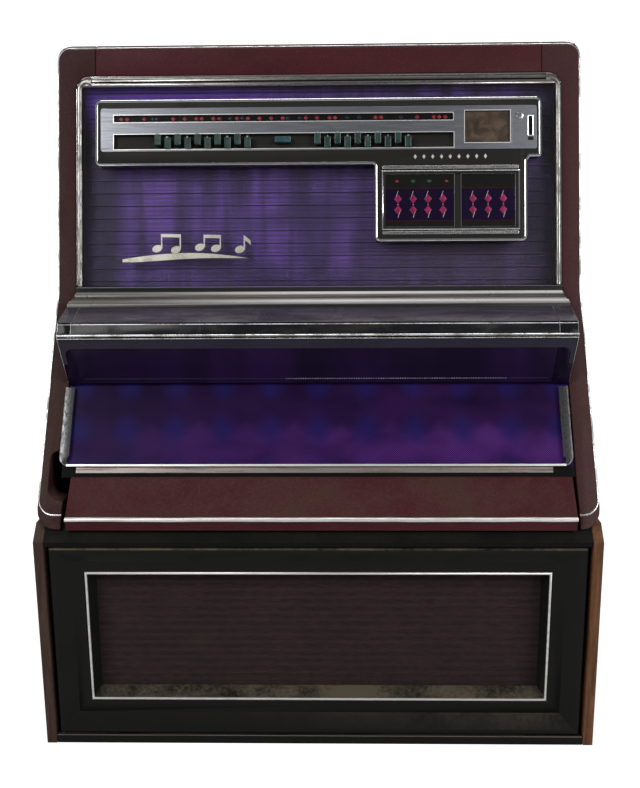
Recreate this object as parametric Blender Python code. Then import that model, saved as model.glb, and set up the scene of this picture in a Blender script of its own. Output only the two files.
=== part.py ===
# Console jukebox: wooden cabinet, lifting front and roof, grille door, selector keys and record mechanism.
# Metres, +Z up, front towards -Y, origin on the floor under the middle of the cabinet.

import math

import bmesh
import bpy
from mathutils import Vector

# Overall cabinet
cabinet_width = 1.036
cabinet_depth = 0.660
cabinet_height = 1.307
side_board = 0.019
panel_board = 0.019
frame_width = 1.030
base_height = 0.406
shoulder_run = 0.0285
shoulder_height = 0.4345
plinth_height = 0.018

# Sloping front: a steep upper face and a shallower lower face meet at the knee
knee_setback = 0.258
knee_height = 0.830
upper_lean = math.radians(13)
lower_lean = math.radians(31.6)
frame_depth = 0.040
roof_lip_height = 0.008
frame_top = cabinet_height - roof_lip_height
stile_width = 0.038
top_rail_face = 0.053
glass_half_width = frame_width / 2 - stile_width

# Clearances
seat_gap = 0.0003
slide_gap = 0.0004
running_gap = 0.0005
door_gap = 0.004
overrun = 0.010

front_y = -cabinet_depth / 2
back_y = cabinet_depth / 2
inner_half_width = cabinet_width / 2 - side_board
board_half_width = inner_half_width - seat_gap

lid_axis_setback = 0.6545
lid_axis_drop = 0.0095
lid_axis_height = cabinet_height - lid_axis_drop


# Geometry helpers


def clear_scene():
    for thing in list(bpy.data.objects):
        bpy.data.objects.remove(thing, do_unlink=True)


def finish(name, colour, roughness, metallic=0.0):
    found = bpy.data.materials.get(name)
    if found:
        return found
    material = bpy.data.materials.new(name)
    material.use_nodes = True
    shader = material.node_tree.nodes["Principled BSDF"]
    shader.inputs["Base Color"].default_value = (*colour, 1)
    shader.inputs["Roughness"].default_value = roughness
    shader.inputs["Metallic"].default_value = metallic
    return material


def behind_front(setback):
    return front_y + setback


def on_upper(along, inward):
    """A (y, z) point on the upper face: metres up from the knee and in behind the face."""
    return (
        behind_front(knee_setback) + along * math.sin(upper_lean) + inward * math.cos(upper_lean),
        knee_height + along * math.cos(upper_lean) - inward * math.sin(upper_lean),
    )


def on_lower(along, inward):
    """A (y, z) point on the lower face: metres down from the knee and in behind the face."""
    return (
        behind_front(knee_setback) - along * math.sin(lower_lean) + inward * math.cos(lower_lean),
        knee_height - along * math.cos(lower_lean) - inward * math.sin(lower_lean),
    )


def upper_at_height(height, inward):
    start = on_upper(0, inward)
    return (start[0] + (height - start[1]) * math.tan(upper_lean), height)


def lower_at_height(height, inward):
    start = on_lower(0, inward)
    return (start[0] + (height - start[1]) * math.tan(lower_lean), height)


def knee_at(inward):
    """The knee's corner once both faces are moved in by this much."""
    shift = inward * math.tan((lower_lean - upper_lean) / 2)
    return on_upper(shift, inward)


def make_object(name, mesh, material, parent=None, location=(0, 0, 0), rotation=(0, 0, 0)):
    thing = bpy.data.objects.new(name, mesh)
    bpy.context.scene.collection.objects.link(thing)
    thing.location = location
    thing.rotation_euler = rotation
    thing.parent = parent
    if material and not mesh.materials:
        mesh.materials.append(material)
    return thing


def keep_place(thing, parent):
    """Parents an object that is already where it belongs in the world."""
    thing.parent = parent
    thing.matrix_parent_inverse = parent.matrix_world.inverted()
    return thing


def make_empty(name, location, rotation=(0, 0, 0), parent=None):
    empty = bpy.data.objects.new(name, None)
    bpy.context.scene.collection.objects.link(empty)
    empty.location = location
    empty.rotation_euler = rotation
    bpy.context.view_layer.update()
    if parent:
        keep_place(empty, parent)
        bpy.context.view_layer.update()
    return empty


def to_mesh(shape, name, smooth=False):
    bmesh.ops.recalc_face_normals(shape, faces=shape.faces)
    mesh = bpy.data.meshes.new(name)
    shape.to_mesh(mesh)
    shape.free()
    if smooth:
        mesh.shade_smooth()
        mesh.set_sharp_from_angle(angle=math.radians(35))
    return mesh


def prism_mesh(name, outline, low, high, axis):
    """An outline of the two other axes, in X, Y, Z order, carried from low to high along one axis."""
    order = {"x": (2, 0, 1), "y": (0, 2, 1), "z": (0, 1, 2)}[axis]
    shape = bmesh.new()
    corners = []
    for first, second in outline:
        values = (first, second, low)
        corners.append(shape.verts.new([values[place] for place in order]))
    face = shape.faces.new(corners)
    grown = bmesh.ops.extrude_face_region(shape, geom=[face])["geom"]
    travel = Vector([float(axis == letter) for letter in "xyz"]) * (high - low)
    moved = [item for item in grown if isinstance(item, bmesh.types.BMVert)]
    bmesh.ops.translate(shape, verts=moved, vec=travel)
    return to_mesh(shape, name)


def prism(name, outline, low, high, axis, material, parent=None, location=(0, 0, 0)):
    return make_object(name, prism_mesh(name, outline, low, high, axis), material, parent, location)


def box(name, x_range, y_range, z_range, material, parent=None):
    left, right = x_range
    front, rear = y_range
    corners = [(left, front), (right, front), (right, rear), (left, rear)]
    return prism(name, corners, z_range[0], z_range[1], "z", material, parent)


def turned_mesh(name, profile, segments):
    """A closed (radius, height) profile turned about Z. A radius of zero makes a pole."""
    shape = bmesh.new()
    rings = []
    for radius, height in profile:
        if radius == 0:
            rings.append([shape.verts.new((0, 0, height))] * segments)
            continue
        ring = []
        for step in range(segments):
            angle = math.tau * step / segments
            ring.append(shape.verts.new((radius * math.cos(angle), radius * math.sin(angle), height)))
        rings.append(ring)
    for low, high in zip(rings, rings[1:] + rings[:1]):
        for step in range(segments):
            after = (step + 1) % segments
            corners = [low[step], low[after], high[after], high[step]]
            corners = list(dict.fromkeys(corners))
            if len(corners) > 2:
                shape.faces.new(corners)
    return to_mesh(shape, name, smooth=True)


def rounded(points, radii, steps=5):
    """The outline with each corner whose radius isn't zero turned into an arc."""
    result = []
    count = len(points)
    for index, radius in enumerate(radii):
        corner = Vector(points[index])
        if radius == 0:
            result.append(tuple(corner))
            continue
        back = (Vector(points[index - 1]) - corner).normalized()
        ahead = (Vector(points[(index + 1) % count]) - corner).normalized()
        half = back.angle(ahead) / 2
        middle = corner + (back + ahead).normalized() * (radius / math.sin(half))
        start = corner + back * (radius / math.tan(half)) - middle
        end = corner + ahead * (radius / math.tan(half)) - middle
        turn = start.angle(end)
        for step in range(steps + 1):
            share = step / steps
            arm = start * math.sin((1 - share) * turn) + end * math.sin(share * turn)
            result.append(tuple(middle + arm / math.sin(turn)))
    return result


def tool(thing):
    """Marks an object as a cutter or an addition that isn't a piece itself."""
    thing.hide_render = True
    thing.display_type = "WIRE"
    return thing


def combine(target, other, operation):
    tool(other)
    modifier = target.modifiers.new(other.name, "BOOLEAN")
    modifier.operation = operation
    modifier.object = other


# Materials


def maroon_paint():
    return finish("maroon paint", (0.055, 0.012, 0.016), 0.35)


def chrome():
    return finish("chrome", (0.75, 0.76, 0.78), 0.12, 1.0)


def brushed_steel():
    return finish("brushed steel", (0.36, 0.35, 0.34), 0.38, 1.0)


def aluminium():
    return finish("aluminium", (0.62, 0.62, 0.60), 0.30, 1.0)


def black_paint():
    return finish("black paint", (0.012, 0.012, 0.011), 0.45)


def black_plastic():
    return finish("black plastic", (0.018, 0.016, 0.014), 0.30)


def smoked_plastic():
    return finish("smoked plastic", (0.020, 0.012, 0.022), 0.12)


def clear_glass():
    return finish("clear glass", (0.80, 0.80, 0.85), 0.05)


def purple_title_plastic():
    return finish("purple title plastic", (0.075, 0.028, 0.210), 0.30)


def violet_display_sheet():
    return finish("violet display sheet", (0.020, 0.004, 0.045), 0.18)


def green_key_plastic():
    return finish("green key plastic", (0.045, 0.105, 0.085), 0.35)


def teal_key_plastic():
    return finish("teal key plastic", (0.070, 0.200, 0.190), 0.30)


def walnut():
    return finish("walnut", (0.060, 0.030, 0.018), 0.50)


def grille_cloth():
    return finish("grille cloth", (0.030, 0.012, 0.010), 0.90)


def plywood():
    return finish("plywood", (0.30, 0.19, 0.10), 0.70)


def hardboard():
    return finish("hardboard", (0.13, 0.075, 0.04), 0.80)


def grey_steel():
    return finish("grey steel", (0.30, 0.31, 0.31), 0.45, 0.8)


def black_vinyl():
    return finish("black vinyl", (0.010, 0.010, 0.010), 0.40)


# Cabinet


def side_board_outline():
    """Front edge upright to the shoulder, then along the back of the sloping frame to the roof."""
    inward = frame_depth + seat_gap
    top = cabinet_height - panel_board - seat_gap
    return [
        (front_y, 0),
        (back_y, 0),
        (back_y, top),
        upper_at_height(top, inward),
        knee_at(inward),
        lower_at_height(shoulder_height, inward),
        (behind_front(shoulder_run), shoulder_height),
        (front_y, base_height),
    ]


def make_side_boards():
    outline = side_board_outline()
    half = cabinet_width / 2
    prism("side_panel_left", outline, -half, -half + side_board, "x", walnut())
    prism("side_panel_right", outline, half - side_board, half, "x", walnut())


door_pin_radius = 0.003
door_axis_inset = 0.005
door_side_gap = 0.008
door_half_width = inner_half_width - door_side_gap
door_bottom = plinth_height + door_gap
door_top_drop = 0.012
door_top = base_height - door_top_drop
door_axis = (-door_half_width + door_axis_inset, behind_front(door_axis_inset))
floor_setback = 0.060
floor_top = plinth_height + panel_board
back_panel_setback = 0.642
back_panel_thickness = 0.008


def door_pin(name, low, high):
    """A short pin on the door's hinge line, standing on one of the pieces above and below it."""
    profile = [(0, low), (door_pin_radius, low), (door_pin_radius, high), (0, high)]
    mesh = turned_mesh(name, profile, 12)
    return make_object(name, mesh, black_paint(), location=(*door_axis, 0))


plinth_setback = 0.001
plinth_thickness = 0.019


def make_plinth():
    plinth = box(
        "plinth_board",
        (-board_half_width, board_half_width),
        (behind_front(plinth_setback), behind_front(plinth_setback + plinth_thickness)),
        (0, plinth_height),
        black_paint(),
    )
    pin = door_pin("lower door pin", plinth_height - overrun, door_bottom - seat_gap)
    combine(plinth, pin, "UNION")


top_rail_bottom = door_top + door_gap
top_rail_depth = 0.0600


def make_base_top_rail():
    outline = [
        (front_y, top_rail_bottom),
        (behind_front(top_rail_depth), top_rail_bottom),
        (behind_front(top_rail_depth), shoulder_height),
        (behind_front(shoulder_run), shoulder_height),
        (front_y, base_height),
    ]
    rail = prism("base_top_rail", outline, -board_half_width, board_half_width, "x", black_paint())
    pin = door_pin("upper door pin", door_top + seat_gap, top_rail_bottom + door_pin_radius)
    combine(rail, pin, "UNION")


def make_floor_board():
    box(
        "floor_board",
        (-board_half_width, board_half_width),
        (behind_front(floor_setback), behind_front(back_panel_setback) - seat_gap),
        (plinth_height, floor_top),
        plywood(),
    )


def make_mechanism_shelf():
    box(
        "mechanism_shelf",
        (-board_half_width, board_half_width),
        (behind_front(top_rail_depth) + seat_gap, behind_front(back_panel_setback) - seat_gap),
        (shoulder_height - panel_board, shoulder_height),
        plywood(),
    )


vent_length = 0.100
vent_height = 0.008
vent_pitch_x = 0.150
vent_pitch_z = 0.030
vent_columns = 3
vent_rows = 5
vent_foot = 0.20
vent_field_drop = 0.327
vent_heights = (vent_foot, cabinet_height - vent_field_drop)
inlet_width = 0.048
inlet_height = 0.028
inlet_from_side = 0.110
inlet_above_floor = 0.075


def make_back_panel():
    """A thin board between the side boards, with two fields of vents and the mains inlet's opening."""
    low = behind_front(back_panel_setback)
    high = low + back_panel_thickness
    top = cabinet_height - panel_board - seat_gap
    panel = box(
        "back_panel",
        (-board_half_width, board_half_width),
        (low, high),
        (plinth_height, top),
        hardboard(),
    )
    for start in vent_heights:
        for row in range(vent_rows):
            for column in range(vent_columns):
                middle = (column - (vent_columns - 1) / 2) * vent_pitch_x
                height = start + row * vent_pitch_z
                vent = box(
                    "vent cutter",
                    (middle - vent_length / 2, middle + vent_length / 2),
                    (low - overrun, high + overrun),
                    (height, height + vent_height),
                    None,
                )
                combine(panel, vent, "DIFFERENCE")
    inlet_x = inner_half_width - inlet_from_side
    inlet = box(
        "inlet cutter",
        (inlet_x - inlet_width / 2, inlet_x + inlet_width / 2),
        (high - back_panel_thickness / 2, high + overrun),
        (inlet_above_floor, inlet_above_floor + inlet_height),
        None,
    )
    combine(panel, inlet, "DIFFERENCE")


hinge_radius = 0.004
hinge_leaf_thickness = 0.0016
hinge_leaf_height = 0.034
hinge_end_inset = 0.055
hinge_half_length = frame_width / 2 - hinge_end_inset


def make_lid_hinge():
    """A long barrel behind the roof's rear edge, on a leaf screwed to the back panel."""
    leaf_front = behind_front(back_panel_setback + back_panel_thickness) + seat_gap
    leaf = box(
        "lid_hinge",
        (-hinge_half_length, hinge_half_length),
        (leaf_front, leaf_front + hinge_leaf_thickness),
        (lid_axis_height - hinge_leaf_height, lid_axis_height),
        grey_steel(),
    )
    half = hinge_half_length
    profile = [(0, -half), (hinge_radius, -half), (hinge_radius, half), (0, half)]
    barrel = make_object(
        "hinge barrel",
        turned_mesh("hinge barrel", profile, 12),
        grey_steel(),
        location=(0, behind_front(lid_axis_setback), lid_axis_height),
        rotation=(0, math.pi / 2, 0),
    )
    combine(leaf, barrel, "UNION")


# Lid: roof, sloping frame and all that the front carries


def make_lid_pivot():
    return make_empty("lid pivot", (0, behind_front(lid_axis_setback), lid_axis_height))


def make_roof(lid):
    """The roof butts on the back of the frame and reaches the hinge leaf."""
    bottom = cabinet_height - panel_board
    inward = frame_depth + seat_gap
    rear = behind_front(back_panel_setback + back_panel_thickness)
    outline = [
        upper_at_height(bottom, inward),
        (rear, bottom),
        (rear, cabinet_height),
        upper_at_height(cabinet_height, inward),
    ]
    half = frame_width / 2
    keep_place(prism("roof_panel", outline, -half, half, "x", black_vinyl()), lid)


frame_nose = 0.008
casting_return = 0.075
outer_corner = 0.027
inner_corner = 0.025
bottom_corner = 0.035
casting_bottom = 0.4265
foot_lip_height = 0.0105
foot_lip_thickness = 0.007
foot_return = 0.0085
foot_return_top = 0.4707
notch_depth = 0.0213
notch_low = 0.479
notch_high = 0.549
notch_mouth = 0.556
notch_corners = (0.020, 0.012)
face_steps = 5


def foot_lip_back(front, bottom):
    """Back of the lip that hangs in front of the base's shoulder, slanted to clear it."""
    back = front + foot_lip_thickness
    return [(back + foot_lip_height, bottom + foot_lip_height), (back, bottom)]


def frame_band_outline(bottom):
    """The sloping frame seen from the side: both faces, and the same faces moved in."""
    nose = upper_at_height(cabinet_height, frame_nose)
    return [
        lower_at_height(bottom, 0),
        knee_at(0),
        upper_at_height(frame_top, 0),
        nose,
        upper_at_height(cabinet_height, frame_depth),
        knee_at(frame_depth),
        lower_at_height(bottom + foot_lip_height, frame_depth),
        *foot_lip_back(lower_at_height(bottom, 0)[0], bottom),
    ]


def rail_lower_height():
    """Height of the top rail's lower edge where it meets the front face."""
    return frame_top - top_rail_face * math.cos(upper_lean)


def stile_foot(side):
    """Inner edge at a casting's foot. The left one has a rounded notch over a short return."""
    inner = frame_width / 2 - stile_width
    if side > 0:
        return [(side * inner, casting_bottom)], [0]
    end = inner - foot_return
    deep = inner + notch_depth
    points = [
        (side * end, casting_bottom),
        (side * end, foot_return_top),
        (side * deep, notch_low),
        (side * deep, notch_high),
        (side * inner, notch_mouth),
    ]
    return points, [0, 0, *notch_corners, 0]


def make_side_casting(name, side, lid):
    """One casting is a stile and a short return of the top rail, with rounded corners."""
    half = frame_width / 2
    inner = half - stile_width
    joint = half - casting_return
    outline = frame_band_outline(casting_bottom)
    low, high = sorted((side * half, side * joint))
    casting = prism(name, outline, low, high, "x", maroon_paint())
    foot, foot_radii = stile_foot(side)
    face = [
        (side * half, casting_bottom),
        *foot,
        (side * inner, rail_lower_height()),
        (side * joint, rail_lower_height()),
        (side * joint, cabinet_height),
        (side * half, cabinet_height),
    ]
    radii = [bottom_corner, *foot_radii, inner_corner, 0, 0, outer_corner]
    face = rounded(face, radii, face_steps)
    keeper = prism(name + " face", face, front_y - overrun, back_y + overrun, "y", None)
    combine(casting, keeper, "INTERSECT")
    keep_place(casting, lid)


def make_top_rail(upper):
    """The middle of the frame's top, between the two castings."""
    half = frame_width / 2 - casting_return - seat_gap
    top = (frame_top - knee_height) / math.cos(upper_lean)
    peak = (cabinet_height - knee_height) / math.cos(upper_lean)
    outline = [
        (0, top - top_rail_face),
        (frame_depth, top - top_rail_face),
        (frame_depth, peak + frame_depth * math.tan(upper_lean)),
        (frame_nose, peak + frame_nose * math.tan(upper_lean)),
        (0, top),
    ]
    prism("frame_top_rail", outline, -half, half, "x", maroon_paint(), upper)


rail_end_inset = 0.051
rail_half_length = frame_width / 2 - rail_end_inset
rail_shift = 0.0062
rail_top = 0.5105
rail_top_setback = 0.0608
rail_lip_height = 0.448
rail_lip_setback = 0.006
rail_bead = 0.0045
rail_bead_rise = 0.007
rail_bottom = casting_bottom
rail_thickness = 0.040


def make_bottom_rail(lid):
    """A sloping face over an upright band, with a bright bead where they meet."""
    lip = behind_front(rail_lip_setback)
    outline = [
        (behind_front(rail_top_setback), rail_top),
        (lip, rail_lip_height + rail_bead_rise / 2),
        (lip - rail_bead, rail_lip_height),
        (lip, rail_lip_height - rail_bead_rise / 2),
        (lip, rail_bottom),
        *reversed(foot_lip_back(lip, rail_bottom)),
        (lip + rail_thickness, rail_bottom + foot_lip_height),
        (behind_front(rail_top_setback + rail_thickness), rail_top),
    ]
    low = rail_shift - rail_half_length
    high = rail_shift + rail_half_length
    keep_place(prism("frame_bottom_rail", outline, low, high, "x", maroon_paint()), lid)


bezel_height = 0.022
bezel_proud = 0.003
bezel_groove = 0.0018
bezel_back = 0.0017
bezel_share = (0.0, 0.06, 0.30, 0.36, 0.64, 0.70, 0.94, 1.0)
bezel_depth_share = (0.35, 1.0, 1.0, 0.0, 0.0, 1.0, 1.0, 0.35)
opening_half_width = glass_half_width - running_gap


def trim_to_opening(thing):
    """Rounds a piece's upper corners to lie inside the castings' inner corners."""
    low = knee_height - overrun
    high = rail_lower_height() - running_gap
    half = opening_half_width
    corners = [(-half, low), (half, low), (half, high), (-half, high)]
    radius = inner_corner - running_gap
    outline = rounded(corners, [0, 0, radius, radius], face_steps)
    keeper = prism("opening keeper", outline, front_y - overrun, back_y + overrun, "y", None)
    combine(thing, keeper, "INTERSECT")


def bezel_top_edge():
    return (frame_top - knee_height) / math.cos(upper_lean) - top_rail_face - seat_gap


def make_bezel_top(upper):
    """Bright moulding under the top rail, with two long grooves."""
    top = bezel_top_edge()
    outline = [(bezel_back, top - bezel_height), (bezel_back, top)]
    for share, depth in reversed(list(zip(bezel_share, bezel_depth_share))):
        proud = bezel_groove + (bezel_proud - bezel_groove) * depth
        outline.append((-proud, top - bezel_height * (1 - share)))
    bezel = prism("bezel_top", outline, -opening_half_width, opening_half_width, "x", chrome(), upper)
    trim_to_opening(bezel)


glass_front = 0.0022
glass_thickness = 0.0040
glass_bottom = 0.0140
panel_front = 0.030
panel_back = 0.034
panel_foot = 0.004
panel_border = 0.010
strip_pitch = 0.0251
first_strip = 0.0254
strip_height = 0.006
strip_rise = 0.003


def make_title_glass(upper):
    glass = box(
        "title_glass",
        (-opening_half_width, opening_half_width),
        (glass_front, glass_front + glass_thickness),
        (glass_bottom, bezel_top_edge() - seat_gap),
        clear_glass(),
        upper,
    )
    trim_to_opening(glass)


def make_title_panel(upper):
    """A sheet well behind the glass, with the level ribs that hold the title strips."""
    top = bezel_top_edge() - seat_gap
    outline = [(panel_back, panel_foot), (panel_back, top), (panel_front, top)]
    strips = int((top - panel_border - first_strip - strip_height) / strip_pitch) + 1
    for strip in reversed(range(strips)):
        low = first_strip + strip * strip_pitch
        outline.append((panel_front, low + strip_height))
        outline.append((panel_front - strip_rise, low + strip_height))
        outline.append((panel_front - strip_rise, low))
        outline.append((panel_front, low))
    outline.append((panel_front, panel_foot))
    half = opening_half_width
    panel = prism("title_panel", outline, -half, half, "x", purple_title_plastic(), upper)
    trim_to_opening(panel)


# Ledge under the title glass

ledge_front_setback = 0.109
ledge_front_drop = 0.039
ledge_front_height = knee_height - ledge_front_drop
ledge_foot_setback = 0.098
ledge_foot_drop = 0.0657
ledge_foot_height = knee_height - ledge_foot_drop
visor_foot_drop = 0.164
visor_foot_height = knee_height - visor_foot_drop
extrusion_run_share = 0.55
ledge_skin = 0.008
visor_thickness = 0.004
ledge_end_left_width = 0.0245
ledge_end_right_width = 0.0335
ledge_joint_left = -opening_half_width + ledge_end_left_width
ledge_joint_right = opening_half_width - ledge_end_right_width
lip_height = 0.012
lip_thickness = 0.005
step_rise = 0.009
step_run_share = (0.07, 0.26, 0.29, 0.45, 0.48, 0.72, 0.76, 0.95, 1.0)
step_rise_share = (0.45, 0.45, 0.10, 0.10, 0.55, 0.55, 1.0, 1.0, 0.35)


def ledge_point(run_share, rise):
    """A point over the ledge's top: a share of the way from the knee to the front edge, and a rise."""
    back = Vector((behind_front(knee_setback), knee_height))
    front = Vector((behind_front(ledge_front_setback), ledge_front_height))
    along = front - back
    up = Vector((along.y, -along.x)).normalized()
    return tuple(back + along * run_share + up * rise)


def ledge_side_gap():
    """Share of the ledge's run that the frame's faces and their clearance take."""
    return seat_gap / (knee_setback - ledge_front_setback)


def make_ledge_extrusion(lid):
    """Stepped metal sill: an upright lip in front of the glass, then three treads."""
    start = ledge_side_gap()
    outline = [
        ledge_point(start, -ledge_skin),
        ledge_point(start, lip_height),
        ledge_point(start + lip_thickness / (knee_setback - ledge_front_setback), lip_height),
    ]
    for run, rise in zip(step_run_share, step_rise_share):
        outline.append(ledge_point(start + run * extrusion_run_share, rise * step_rise))
    outline.append(ledge_point(start + extrusion_run_share, -ledge_skin))
    half = opening_half_width
    sill = prism("ledge_extrusion", outline, -half, half, "x", aluminium())
    keep_place(sill, lid)


shelf_edge_proud = 0.003


def make_ledge_shelf(lid):
    """Smoked top of the ledge and the band down its front, in one bent piece."""
    start = ledge_side_gap() + extrusion_run_share + ledge_side_gap()
    front = (behind_front(ledge_front_setback), ledge_front_height)
    foot = (behind_front(ledge_foot_setback), ledge_foot_height)
    outline = [
        ledge_point(start, -ledge_skin),
        ledge_point(start, step_rise * step_rise_share[-1]),
        ledge_point(1, shelf_edge_proud),
        (front[0] - shelf_edge_proud, front[1]),
        (foot[0] - shelf_edge_proud, foot[1]),
        foot,
        (foot[0] + ledge_skin, foot[1]),
        (front[0] + ledge_skin, front[1] - ledge_skin),
    ]
    low = ledge_joint_left + seat_gap
    high = ledge_joint_right - seat_gap
    keep_place(prism("ledge_shelf", outline, low, high, "x", smoked_plastic()), lid)


def visor_foot(inward=0.0):
    return lower_at_height(visor_foot_height, inward)


def make_visor_glass(lid):
    """Smoked sheet from under the ledge's front edge back down to the lower face."""
    start = Vector((behind_front(ledge_foot_setback), ledge_foot_height))
    end = Vector(visor_foot())
    along = (end - start).normalized()
    inward = Vector((-along.y, along.x)) * visor_thickness
    end = end - along * visor_thickness
    outer_start = start + along * (seat_gap / -along.y)
    inner_start = start + inward + along * ((inward.y + seat_gap) / -along.y)
    corners = [outer_start, end, end + inward, inner_start]
    outline = [tuple(corner) for corner in corners]
    low = ledge_joint_left + seat_gap
    high = ledge_joint_right - seat_gap
    keep_place(prism("visor_glass", outline, low, high, "x", smoked_plastic()), lid)


def make_ledge_end(name, low, high, lid):
    """A cheek that closes the ledge's end, cut back under the metal sill."""
    cut_back = ledge_side_gap() + extrusion_run_share + ledge_side_gap()
    outline = [
        ledge_point(ledge_side_gap(), -ledge_skin - seat_gap),
        ledge_point(cut_back, -ledge_skin - seat_gap),
        ledge_point(cut_back, step_rise * step_rise_share[-1]),
        ledge_point(1, shelf_edge_proud),
        (behind_front(ledge_front_setback) - shelf_edge_proud, ledge_front_height),
        (behind_front(ledge_foot_setback) - shelf_edge_proud, ledge_foot_height),
        (behind_front(ledge_foot_setback), ledge_foot_height),
        visor_foot(),
    ]
    keep_place(prism(name, outline, low, high, "x", smoked_plastic()), lid)


display_inward = 0.0065
display_thickness = 0.005
display_start = 0.030


def make_display_panel(lower):
    """Patterned sheet behind the lower window, from under the ledge to the bottom rail."""
    back = display_inward + display_thickness
    length = (knee_height - rail_top - seat_gap) / math.cos(lower_lean) - back * math.tan(lower_lean)
    box(
        "display_panel",
        (-opening_half_width, opening_half_width),
        (display_inward, back),
        (-length, -display_start),
        violet_display_sheet(),
        lower,
    )


# Control housing, in the upper face's own frame: X, depth and height above the knee

housing_front = 0.022
housing_back = 0.0017
housing_side_gap = 0.043
housing_half_width = opening_half_width - housing_side_gap
housing_top_gap = 0.0547
housing_height = 0.1267
housing_corner = 0.010
housing_top = bezel_top_edge() - housing_top_gap
housing_foot = housing_top - housing_height
drop_height = 0.1504
drop_foot = housing_foot - drop_height
drop_shares = (0.6294, 0.9678)
step_height = 0.0127
step_outer = housing_foot + step_height
coin_block_width = 0.0315
coin_block_left = housing_half_width - coin_block_width


def across_housing(shares):
    """X places given as shares of the housing's width, from its left end."""
    return tuple(housing_half_width * (2 * share - 1) for share in shares)


def below_top(drops):
    """Heights given as drops below the housing's top."""
    return tuple(housing_top - drop for drop in drops)


drop_left, drop_right = across_housing(drop_shares)

fascia_inset = 0.0098
fascia_top_drop = 0.0157
fascia_foot_rise = 0.0265
fascia_left = -housing_half_width + fascia_inset
fascia_top = housing_top - fascia_top_drop
fascia_foot = housing_foot + fascia_foot_rise
fascia_thickness = 0.0015

key_slot_shares = (0.0413, 0.8051)
key_slot = across_housing(key_slot_shares)
key_slot_floor = 0.0140
legend_slot_shares = (0.0413, 0.8039)
legend_slot = across_housing(legend_slot_shares)
legend_drops = (0.0432, 0.0295)
legend_height = below_top(legend_drops)
legend_depth = 0.003
price_window_shares = (0.8300, 0.9309)
price_window = across_housing(price_window_shares)
price_drops = (0.0875, 0.0256)
price_height = below_top(price_drops)
price_depth = 0.004

key_width = 0.0122
key_height = 0.0214
key_bevel = 0.0012
key_pitch_share = 0.0225
key_pitch = 2 * housing_half_width * key_pitch_share
key_stagger = 0.0069
keys_per_bank = 10
bank_start_shares = (0.1409, 0.5005)
bank_starts = across_housing(bank_start_shares)
key_foot_drop = 0.0957
key_foot = housing_top - key_foot_drop
key_proud = 0.005
key_back = 0.0170
key_travel = 0.0025
stem_side = 0.004
stem_length = 0.0110
stem_gap = 0.0003

reset_width = 0.031
reset_height = 0.011
reset_share = 0.4225
reset_drop = 0.0793
reset_middle = (*across_housing([reset_share]), housing_top - reset_drop)

button_radius = 0.0055
button_face_share = 0.8
button_from_coin_block = 0.0115
button_drop = 0.0358
button_middle = (coin_block_left - button_from_coin_block, housing_top - button_drop)
button_proud = 0.004
button_sides = 20

display_margin_left = 0.0195
display_margin_right = 0.0207
display_margin_foot = 0.0270
display_margin_top = 0.0201
display_window = (drop_left + display_margin_left, drop_right - display_margin_right)
display_height = (drop_foot + display_margin_foot, housing_foot - display_margin_top)
display_pocket_depth = 0.006
display_plate = 0.003


def key_places():
    """Name, X and foot height of every selector key, the upper and lower ones taking turns."""
    places = []
    for start in bank_starts:
        for index in range(keys_per_bank):
            foot = key_foot + key_stagger * ((index + 1) % 2)
            places.append(("selector_key_%02d" % (len(places) + 1), start + index * key_pitch, foot))
    return places


def key_slot_height():
    return (key_foot - slide_gap, key_foot + key_stagger + key_height + slide_gap)


def proud_box(name, x_range, depth_range, height_range, upper):
    """A cutter given by how far it lies in front of the upper face."""
    y_range = (-depth_range[1], -depth_range[0])
    return box(name, x_range, y_range, height_range, None, upper)


def stem_cutter(middle_x, middle_height, upper):
    half = stem_side / 2 + stem_gap
    return proud_box(
        "stem cutter",
        (middle_x - half, middle_x + half),
        (-overrun, key_slot_floor + overrun / 2),
        (middle_height - half, middle_height + half),
        upper,
    )


def housing_outline():
    """One long block with a wide drop on its right, and its right end left out for the coin block."""
    points = [
        (-housing_half_width, housing_foot),
        (drop_left, housing_foot),
        (drop_left, drop_foot),
        (drop_right, drop_foot),
        (drop_right, housing_foot - (step_outer - housing_foot)),
        (coin_block_left - seat_gap, step_outer - seat_gap),
        (coin_block_left - seat_gap, housing_top),
        (-housing_half_width, housing_top),
    ]
    radii = [housing_corner, housing_corner / 2, housing_corner, housing_corner, 0, 0, 0, housing_corner]
    return rounded(points, radii, face_steps)


def make_control_housing(upper):
    """Black housing on the glass: channel for the keys, window pockets and the drop below them."""
    outline = housing_outline()
    housing = prism("control_housing", outline, -housing_front, housing_back, "y", black_plastic(), upper)
    cutters = [
        proud_box(
            "key channel",
            key_slot,
            (key_slot_floor, housing_front + overrun),
            key_slot_height(),
            upper,
        ),
        proud_box(
            "legend pocket",
            legend_slot,
            (housing_front - legend_depth, housing_front + overrun),
            legend_height,
            upper,
        ),
        proud_box(
            "price pocket",
            price_window,
            (housing_front - price_depth, housing_front + overrun),
            price_height,
            upper,
        ),
        proud_box(
            "display pocket",
            display_window,
            (housing_front - display_pocket_depth, housing_front + overrun),
            display_height,
            upper,
        ),
    ]
    for _, middle_x, foot in key_places():
        cutters.append(stem_cutter(middle_x, foot + key_height / 2, upper))
    cutters.append(stem_cutter(*reset_middle, upper))
    cutters.append(button_cutter("button bore", housing_front + overrun, upper))
    for cutter in cutters:
        combine(housing, cutter, "DIFFERENCE")


def button_cutter(name, front, upper):
    radius = button_radius + slide_gap
    back = key_slot_floor - key_travel
    mesh = turned_mesh(name, [(0, front), (radius, front), (radius, back), (0, back)], button_sides)
    rotation = (math.pi / 2, 0, 0)
    return make_object(name, mesh, None, upper, (button_middle[0], 0, button_middle[1]), rotation)


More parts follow.
